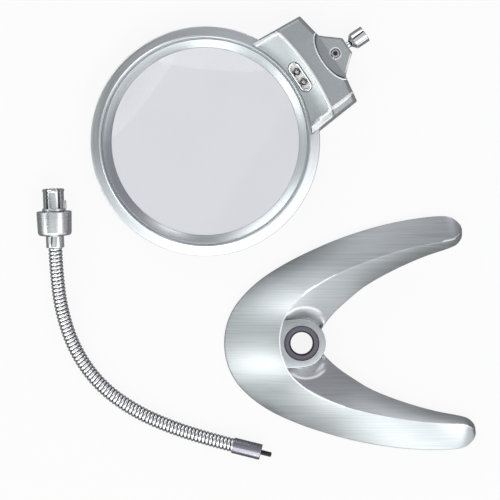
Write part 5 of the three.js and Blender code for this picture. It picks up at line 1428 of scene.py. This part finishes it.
def buildStud():
    ball = turnedPiece("studBall", [
        (jaw["ball"] * math.sin(math.pi * k / 32), -jaw["ball"] * math.cos(math.pi * k / 32)) for k in range(33)
    ], 0, stud["segments"], ballPlace)
    finished(ball, "chromePlate", "chrome_plate", "stud_swing", "stud_ball")
    hollow, waist = jaw["ball"] + gap, stud["waist"]
    seat = [(waist * k / 6, math.sqrt(hollow ** 2 - (waist * k / 6) ** 2)) for k in range(7)]
    end = stud["sleeveX"] - gap
    neckPiece = turnedPiece("studNeck", seat + [
        (waist, stud["flareX"]), (stud["sleeve"], end), (0, end),
    ], [0] * 7 + [0.6, 0.3, 0], stud["segments"], ballPlace)
    finished(neckPiece, "chromePlate", "chrome_plate", "stud_tilt", "stud_neck")
    low, high = stud["sleeveX"], stud["sleeveX"] + stud["length"]
    sleeve = turnedPiece("studSleeve", [
        (0, low), (stud["sleeve"], low), (stud["sleeve"], high), (stud["bore"], high),
        (stud["bore"], high - stud["boreDepth"]), (0, high - stud["boreDepth"]),
    ], [0, 0.3, stud["chamfer"], 0.3, 0.1, 0], stud["segments"], ballPlace)
    finished(sleeve, "chromePlate", "chrome_plate", "stud_spin", "stud_sleeve")


led = {
    "board": 0.6, "aside": 3.5, "flange": 2.3, "flangeHeight": 0.3, "radius": 2, "straight": 0.9, "dome": 1.3,
    "cupInner": 1.0, "cupOuter": 1.75, "cupHeight": 0.7, "cupWall": 0.15, "cupTurn": 0.6, "notch": 0.9,
    "cupFloor": 0.35, "dieEdge": 0.35, "dieHeight": 0.5,
}


def buildLamp():  # two lamps on a board, in a chromed bezel; in each a reflector cup round a die
    low = -lampWindow["depth"] + gap / 2
    high = low + led["board"]
    boardLong, boardWide = lampWindow["halfLength"] - gap * 1.4, lampWindow["halfWidth"] - gap * 1.4
    board = makePiece("lampBoard", *standing(stadium(boardLong, boardWide), low, high), lampPlace)
    finished(board, "whiteMask", "circuit_board", "head", "led_board")
    rim = lampWindow["rim"]
    sections = []
    section = softened([
        (0, high + gap, 0), (rim, high + gap, 0), (rim - 0.35, lampWindow["proud"], 0), (0, lampWindow["proud"], 0),
    ], [0.05, 0.1, 0.5, 0.6], 5, closed=True)
    for outset, height, _ in section:
        sections.append([(x, y, height) for x, y in stadium(boardLong - outset, boardWide - outset)])
    bezel = makePiece("lampBezel", *lofted(sections, closedLoop=True), lampPlace)
    finished(bezel, "chromePlate", "chrome_plate", "head", "led_bezel")
    for k, side in enumerate((1, -1)):
        place = lampPlace @ Matrix.Translation((0, side * led["aside"], 0))
        foot = high + gap / 2
        flange, radius = led["flange"], led["radius"]
        step, shoulder = foot + led["flangeHeight"], foot + led["straight"]
        dome = [(0, foot), (flange, foot), (flange, step), (radius, step), (radius, shoulder)]
        turns = [math.radians(turn) for turn in range(10, 90, 10)]
        dome += [(radius * math.cos(turn), shoulder + led["dome"] * math.sin(turn)) for turn in turns]
        dome.append((0, shoulder + led["dome"]))
        lampDome = turnedPiece(f"lampDome.{k + 1}", dome, [0, 0.1, 0.1, 0.1, 0] + [0] * 9, 48, place)
        finished(lampDome, "clearEpoxy", "led_epoxy", "head", f"led_{k + 1}")
        inner, outer, floor = led["cupInner"], led["cupOuter"], foot + led["cupFloor"]
        top, half = floor + led["cupHeight"], led["notch"] / 2
        cup = turnedPiece(f"lampCup.{k + 1}", [
            (inner, floor), (outer, floor), (outer, top), (outer - led["cupWall"], top),
        ], 0.03, 32, place, closed=True)
        cut(cup, boxed(0, 3, -half, half, -3, 3), place @ Matrix.Rotation(led["cupTurn"], 4, "Z"))
        # the reflector cup is drawn in dark black oxide as painted shade
        finished(cup, "blackOxideSteel", "black_steel", "head")
        die = turnedPiece(f"lampDie.{k + 1}", [
            (0, floor), (inner - 0.25, floor), (inner - 0.4, floor + led["dieEdge"]), (0, floor + led["dieHeight"]),
        ], [0, 0.03, 0.1, 0], 32, place)
        finished(die, "whiteMask", "circuit_board", "head")


def screwTree():  # a screw with a chamfered head and a hexagon socket, head down, on every point
    tree = bpy.data.node_groups.new("socketScrews", "GeometryNodeTree")
    addInput(tree, "Geometry", "NodeSocketGeometry")
    for name in ["Head Radius", "Head Height", "Shaft Radius", "Length", "Drive Radius", "Drive Depth", "Chamfer"]:
        addInput(tree, name, "NodeSocketFloat")
    addInput(tree, "Material", "NodeSocketMaterial")
    tree.interface.new_socket("Geometry", in_out="OUTPUT", socket_type="NodeSocketGeometry")
    given = addNode(tree, "NodeGroupInput")

    def raised(mesh, height):
        lift = addNode(tree, "ShaderNodeCombineXYZ", {"Z": height})
        return addNode(tree, "GeometryNodeTransform", {"Geometry": (mesh, "Mesh"), "Translation": (lift, "Vector")})

    drum = addNode(tree, "ShaderNodeMath", {0: (given, "Head Height"), 1: (given, "Chamfer")}, operation="SUBTRACT")
    head = addNode(tree, "GeometryNodeMeshCylinder", {
        "Vertices": 32, "Radius": (given, "Head Radius"), "Depth": (drum, "Value"),
    })
    headAt = addNode(tree, "ShaderNodeMath", {0: (drum, "Value"), 1: -0.5}, operation="MULTIPLY")
    narrow = addNode(tree, "ShaderNodeMath", {0: (given, "Head Radius"), 1: (given, "Chamfer")}, operation="SUBTRACT")
    edge = addNode(tree, "GeometryNodeMeshCone", {
        "Vertices": 32, "Radius Top": (given, "Head Radius"), "Radius Bottom": (narrow, "Value"),
        "Depth": (given, "Chamfer"),
    })
    edgeAt = addNode(tree, "ShaderNodeMath", {0: (given, "Head Height"), 1: -1.0}, operation="MULTIPLY")
    length = addNode(tree, "ShaderNodeMath", {0: (given, "Length"), 1: (given, "Head Height")}, operation="SUBTRACT")
    shaft = addNode(tree, "GeometryNodeMeshCylinder", {
        "Vertices": 16, "Radius": (given, "Shaft Radius"), "Depth": (length, "Value"),
    })
    shaftAt = addNode(tree, "ShaderNodeMath", {0: (length, "Value"), 1: 0.5}, operation="MULTIPLY")
    deep = addNode(tree, "ShaderNodeMath", {0: (given, "Drive Depth"), 1: 2.0}, operation="MULTIPLY")
    drive = addNode(tree, "GeometryNodeMeshCylinder", {
        "Vertices": 6, "Radius": (given, "Drive Radius"), "Depth": (deep, "Value"),
    })
    whole = addNode(tree, "GeometryNodeMeshBoolean", operation="UNION", solver="EXACT")
    for mesh, height in ((head, headAt), (edge, edgeAt), (shaft, shaftAt)):
        tree.links.new(raised(mesh, (height, "Value")).outputs["Geometry"], whole.inputs["Mesh 2"])
    socketed = addNode(tree, "GeometryNodeMeshBoolean", {
        "Mesh 1": (whole, "Mesh"), "Mesh 2": (raised(drive, (edgeAt, "Value")), "Geometry"),
    }, operation="DIFFERENCE", solver="EXACT")
    screws = addNode(tree, "GeometryNodeInstanceOnPoints", {
        "Points": (given, "Geometry"), "Instance": (socketed, "Mesh"),
    })
    real = addNode(tree, "GeometryNodeRealizeInstances", {"Geometry": (screws, "Instances")})
    coated = addNode(tree, "GeometryNodeSetMaterial", {
        "Geometry": (real, "Geometry"), "Material": (given, "Material"),
    })
    addNode(tree, "NodeGroupOutput", {"Geometry": (coated, "Geometry")})
    return tree


boltTree = screwTree()


def buildScrews(name, sizes, places, body, nodes):
    points = bpy.data.meshes.new(name)
    points.from_pydata([tuple(place / 1000) for place in places], [], [])
    values = {key: value / 1000 for key, value in sizes.items()} | {"Material": finishes["zincSteel"]}
    piece = grown(linked(name, points), boltTree, values)
    smoothed(piece.data, 30)
    finished(piece, "zincSteel", "bright_steel", body, *nodes)


def buildAllScrews():
    cover, ring, shell = screwSizes["cover"], screwSizes["ring"], screwSizes["shell"]
    seats = [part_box(f"base_cover_screw_{k}") for k in range(1, 5)]
    places = [Vector(((low.x + high.x) * 500, (low.y + high.y) * 500, low.z * 1000 + cover["Head Height"]))
              for low, high in seats]
    buildScrews("coverScrews", cover, places, "base", [f"base_cover_screw_{k}" for k in range(1, 5)])
    places = [headPlace @ Vector((*at, ring["Head Height"] + gap)) for at in ringScrewPlaces]
    buildScrews("ringScrews", ring, places, "head", [f"ring_screw_{k}" for k in range(1, 5)])
    places = [headPlace @ Vector((*at, shell["Head Height"] + gap)) for at in housingScrewPlaces]
    buildScrews("shellScrews", shell, places, "head", [f"housing_screw_{k}" for k in range(1, 5)])


def buildDoor():
    half = cells["half"] + door["rim"] - gap
    near = cells["first"] - cells["radius"] - cells["gap"] - door["rim"] + gap
    far = housing["reach"] + housing["farDraft"] * leanAt(0)
    corner = farEnd(half) + housing["farDraft"] * leanAt(0)
    flat = housing["flatHalf"]
    outline = softened([
        (near, -half, 0), (corner, -half, 0), (far, -flat, 0), (far, flat, 0), (corner, half, 0), (near, half, 0),
    ], door["corner"], 5, closed=True)
    plate = standing([(x, y) for x, y, _ in outline], door["height"], door["height"] + door["thickness"])
    piece = makePiece("batteryDoor", *plate, headPlace)
    bevelled(piece, door["round"], segments=2)
    radius, long = door["gripWidth"] / 2, door["gripLength"] / 2
    for k in range(door["grips"]):
        x = far - (k + 1.5) * door["gripWidth"] * 2 + radius
        path = [(x, -long + 2 * long * step / 8, door["height"]) for step in range(9)]
        cut(piece, tube(path, radius * 1.05), headPlace)
    smoothed(piece.data, 30)
    finished(piece, "silverLacquer", "silver_paint", "battery_door", "battery_door")


cellWall = cells["half"] - gap
cellShift = cellWall - cells["contact"] - gap - cells["nub"] - cells["length"] / 2


def cellFinish(centre, normal):  # 1 is the bare steel of the two ends, 2 the band at the nub's end
    half, away = cells["length"] / 2, centre.xy.length
    inside = away < cells["radius"] - 0.95 and (centre.z < 0 or away < cells["nubRadius"] + 0.1)
    if inside and abs(centre.z) > half - 0.4:
        return 1
    return 2 if centre.z > half - cells["band"] else 0


def buildCells():
    half, radius, nub, crimp = cells["length"] / 2, cells["radius"], cells["nubRadius"], cells["crimp"]
    rear, seal = -half + cells["crimpRise"], half - cells["sealDepth"]
    for k, (x, side) in enumerate(((cells["first"], 1), (cells["second"], -1))):
        turn = Matrix.Rotation(-side * math.pi / 2, 4, "X")
        place = onHead(x, side * cellShift, cells["height"]) @ turn
        cell = turnedPiece(f"dryCell.{k + 1}", [
            (0, -half), (radius - crimp, -half), (radius - crimp + 0.1, rear), (radius, rear),
            (radius, half - 0.1), (nub + crimp, half - 0.1), (nub + crimp - 0.1, seal), (nub, seal),
            (nub, half + cells["nub"]), (0, half + cells["nub"]),
        ], [0, 0.1, 0.1, 0.4, 0.6, 0.1, 0.1, 0.1, 0.35, 0], 64, place)
        finished(cell, "cellFilm", "cell_jacket", "head", f"battery_{k + 1}")
        painted(cell, place, cellFinish, "zincSteel", "cellBand")


def contactStrip(x0, x1, side):
    low, high = cells["height"] - cells["contactHeight"] / 2, cells["height"] + cells["contactHeight"] / 2
    deep = cellWall - cells["contact"]
    ys = (deep, cellWall) if side > 0 else (-cellWall, -deep)
    return boxed(x0, x1, *ys, low, high)


def buildContacts():
    spring, first, second = cells["spring"], cells["first"], cells["second"]
    width = spring["Radius"] + cells["contact"]
    reach = cellWall - cells["contact"] - gap - (cells["length"] / 2 - cellShift) - spring["Wire"]
    steps = round(spring["Turns"] * 20)
    wire = []
    for k in range(steps + 1):
        share, turn = k / steps, math.tau * spring["Turns"] * k / steps
        radius = spring["Radius"] - spring["Wire"] + (spring["Tip"] - spring["Radius"]) * share
        wire.append((radius * math.cos(turn), radius * math.sin(turn), reach * share))
    for name, span, side, at, node in (
        ("contactBridge", (first - width, second + width), -1, first, "contact_bridge"),
        ("contactSpring", (second - width, second + width), 1, second, "contact_spring"),
        ("contactPlate", (first - width, first + width), 1, None, "contact_plate"),
    ):
        piece = makePiece(name, *contactStrip(*span, side), headPlace)
        bevelled(piece, 0.12, segments=2)
        if at is not None:
            turn = Matrix.Rotation(side * math.pi / 2, 4, "X")
            place = onHead(at, side * (cellWall - cells["contact"]), cells["height"]) @ turn
            join(piece, tube(wire, spring["Wire"], around=10), place)
        smoothed(piece.data, 40)
        finished(piece, "zincSteel", "bright_steel", "head", node)


feet = {"hollow": 0.35, "tread": 1.6, "slope": 0.3}  # a shallow hollow inside the tread lets each foot grip


def buildFeet():
    for k in range(1, 5):
        low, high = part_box(f"base_foot_{k}")
        middle, radius = (low + high) * 500, (high.x - low.x) * 500
        bottom, top, inner = low.z * 1000, high.z * 1000, radius - feet["tread"]
        foot = turnedPiece(f"rubberFoot.{k}", [
            (0, bottom + feet["hollow"]), (inner - feet["slope"], bottom + feet["hollow"]), (inner, bottom),
            (radius, bottom), (radius, top), (0, top),
        ], [0, 0.3, 0.3, 0.5, 0.2, 0], 64, Matrix.Translation((middle.x, middle.y, 0)))
        finished(foot, "feetRubber", "foot_rubber", "base", f"base_foot_{k}")


buildHousing()
buildSwitch()
buildAllScrews()
buildDoor()
buildCells()
buildContacts()
buildFeet()
buildJaws()
buildStud()
buildLamp()
print("housing ready")


# Stage: a pale surface that keeps a soft shadow, soft lamps, and an even grey room with one dark hood in the metal
stage = {
    "floorColour": "#DEDEE0", "floorSize": 6, "cameraShare": 0.9, "mirrorLevel": 0.24,
    "softLight": 0.5, "brightSide": (-0.45, -0.25, 0), "bright": "#E8EEEE", "dark": "#A9A7AF",
    "brightSpread": 0.4, "hoodPlace": (-0.42, 0.26, 0), "hoodTurn": 148, "hoodSize": (0.15, 0.68, 10),
    "hoodEdge": (0.75, 1.2), "hoodLevel": 0.03,
}
lamps = {
    "right": {"azimuth": -36, "elevation": 50, "distance": 1.8, "size": (1.9, 1.0), "power": 8},
    "near": {"azimuth": -96, "elevation": 50, "distance": 1.8, "size": (1.9, 1.0), "power": 8.5},
    "back": {"azimuth": 129, "elevation": 27, "distance": 1.8, "size": (1.4, 0.7), "power": 6.5},
    "front": {"azimuth": -97, "elevation": 21, "distance": 1.8, "size": (0.95, 0.6), "power": 4.2},
    "low": {"azimuth": -38, "elevation": 12, "distance": 1.8, "size": (1.4, 0.4), "power": 1.3},
    "left": {"azimuth": 206, "elevation": 24, "distance": 1.6, "size": (0.8, 0.4), "power": 3.4},
    "far": {"azimuth": 70, "elevation": 15, "distance": 1.8, "size": (0.5, 0.25), "power": 2},
}


def buildFloor():
    size = stage["floorSize"] / 2
    mesh = bpy.data.meshes.new("floor")
    mesh.from_pydata([(-size, -size, 0), (size, -size, 0), (size, size, 0), (-size, size, 0)], [], [(0, 1, 2, 3)])
    floor = linked("floor", mesh)
    material = bpy.data.materials.new("studioFloor")
    material.use_nodes = True
    tree = material.node_tree
    tree.nodes.clear()
    path = addNode(tree, "ShaderNodeLightPath")
    direct = addNode(tree, "ShaderNodeMath", {
        0: (path, "Is Camera Ray"), 1: (path, "Is Transmission Ray"),
    }, operation="MAXIMUM")
    plain = addNode(tree, "ShaderNodeMath", {0: (direct, "Value"), 1: stage["cameraShare"]}, operation="MULTIPLY")
    share = addNode(tree, "ShaderNodeMath", {0: (plain, "Value"), 1: (path, "Is Glossy Ray")}, operation="MAXIMUM")
    mirrored = addNode(tree, "ShaderNodeMath", {
        0: (path, "Is Glossy Ray"), 1: (path, "Is Transmission Ray"),
    }, operation="SUBTRACT", use_clamp=True)
    level = addNode(tree, "ShaderNodeMapRange", {
        "Value": (mirrored, "Value"), "To Min": 1.0, "To Max": stage["mirrorLevel"],
    })
    paper = addNode(tree, "ShaderNodeBsdfDiffuse", {"Color": linear(stage["floorColour"])})
    white = addNode(tree, "ShaderNodeEmission", {"Color": (1, 1, 1, 1), "Strength": (level, "Result")})
    mixed = addNode(tree, "ShaderNodeMixShader", {
        "Fac": (share, "Value"), 1: (paper, "BSDF"), 2: (white, "Emission"),
    })
    addNode(tree, "ShaderNodeOutputMaterial", {"Surface": (mixed, "Shader")})
    mesh.materials.append(material)


def buildRoom():
    world = bpy.data.worlds.new("studio")
    bpy.context.scene.world = world
    world.use_nodes = True
    tree = world.node_tree
    tree.nodes.clear()
    path = addNode(tree, "ShaderNodeLightPath")
    direction = addNode(tree, "ShaderNodeTexCoord")
    side = addNode(tree, "ShaderNodeVectorMath", {
        0: (direction, "Generated"), 1: stage["brightSide"],
    }, operation="DOT_PRODUCT")
    level = addNode(tree, "ShaderNodeMapRange", {
        "Value": (side, "Value"), "From Min": -stage["brightSpread"], "From Max": stage["brightSpread"],
    })
    tone = addNode(tree, "ShaderNodeMix", {
        0: (level, "Result"), 6: linear(stage["dark"]), 7: linear(stage["bright"]),
    }, data_type="RGBA")
    hood = addNode(tree, "ShaderNodeMapping", {
        "Vector": (direction, "Generated"), "Location": stage["hoodPlace"],
        "Rotation": (0, 0, math.radians(stage["hoodTurn"])), "Scale": stage["hoodSize"],
    }, vector_type="TEXTURE")
    away = addNode(tree, "ShaderNodeVectorMath", {0: (hood, "Vector")}, operation="LENGTH")
    shadow = addNode(tree, "ShaderNodeMapRange", {
        "Value": (away, "Value"), "From Min": stage["hoodEdge"][0], "From Max": stage["hoodEdge"][1],
        "To Min": stage["hoodLevel"], "To Max": 1.0,
    })
    room = addNode(tree, "ShaderNodeBackground", {"Color": (tone, 2), "Strength": (shadow, "Result")})
    soft = addNode(tree, "ShaderNodeBackground", {"Color": (1, 1, 1, 1), "Strength": stage["softLight"]})
    white = addNode(tree, "ShaderNodeBackground", {"Color": (1, 1, 1, 1), "Strength": 1.0})
    lit = addNode(tree, "ShaderNodeMixShader", {
        "Fac": (path, "Is Glossy Ray"), 1: (soft, "Background"), 2: (room, "Background"),
    })
    mixed = addNode(tree, "ShaderNodeMixShader", {
        "Fac": (path, "Is Camera Ray"), 1: (lit, "Shader"), 2: (white, "Background"),
    })
    addNode(tree, "ShaderNodeOutputWorld", {"Surface": (mixed, "Shader")})


def buildLamps():
    for name, lamp in lamps.items():
        data = bpy.data.lights.new(name, "AREA")
        data.shape = "ELLIPSE"
        data.size, data.size_y = lamp["size"]
        data.energy = lamp["power"]
        light = linked(name, data)
        around, up = math.radians(lamp["azimuth"]), math.radians(lamp["elevation"])
        direction = Vector((math.cos(around) * math.cos(up), math.sin(around) * math.cos(up), math.sin(up)))
        light.location = direction * lamp["distance"]
        light.rotation_euler = direction.to_track_quat("Z", "Y").to_euler()


bpy.context.scene.view_settings.view_transform = "Standard"
buildFloor()
buildRoom()
buildLamps()
print("stage ready")
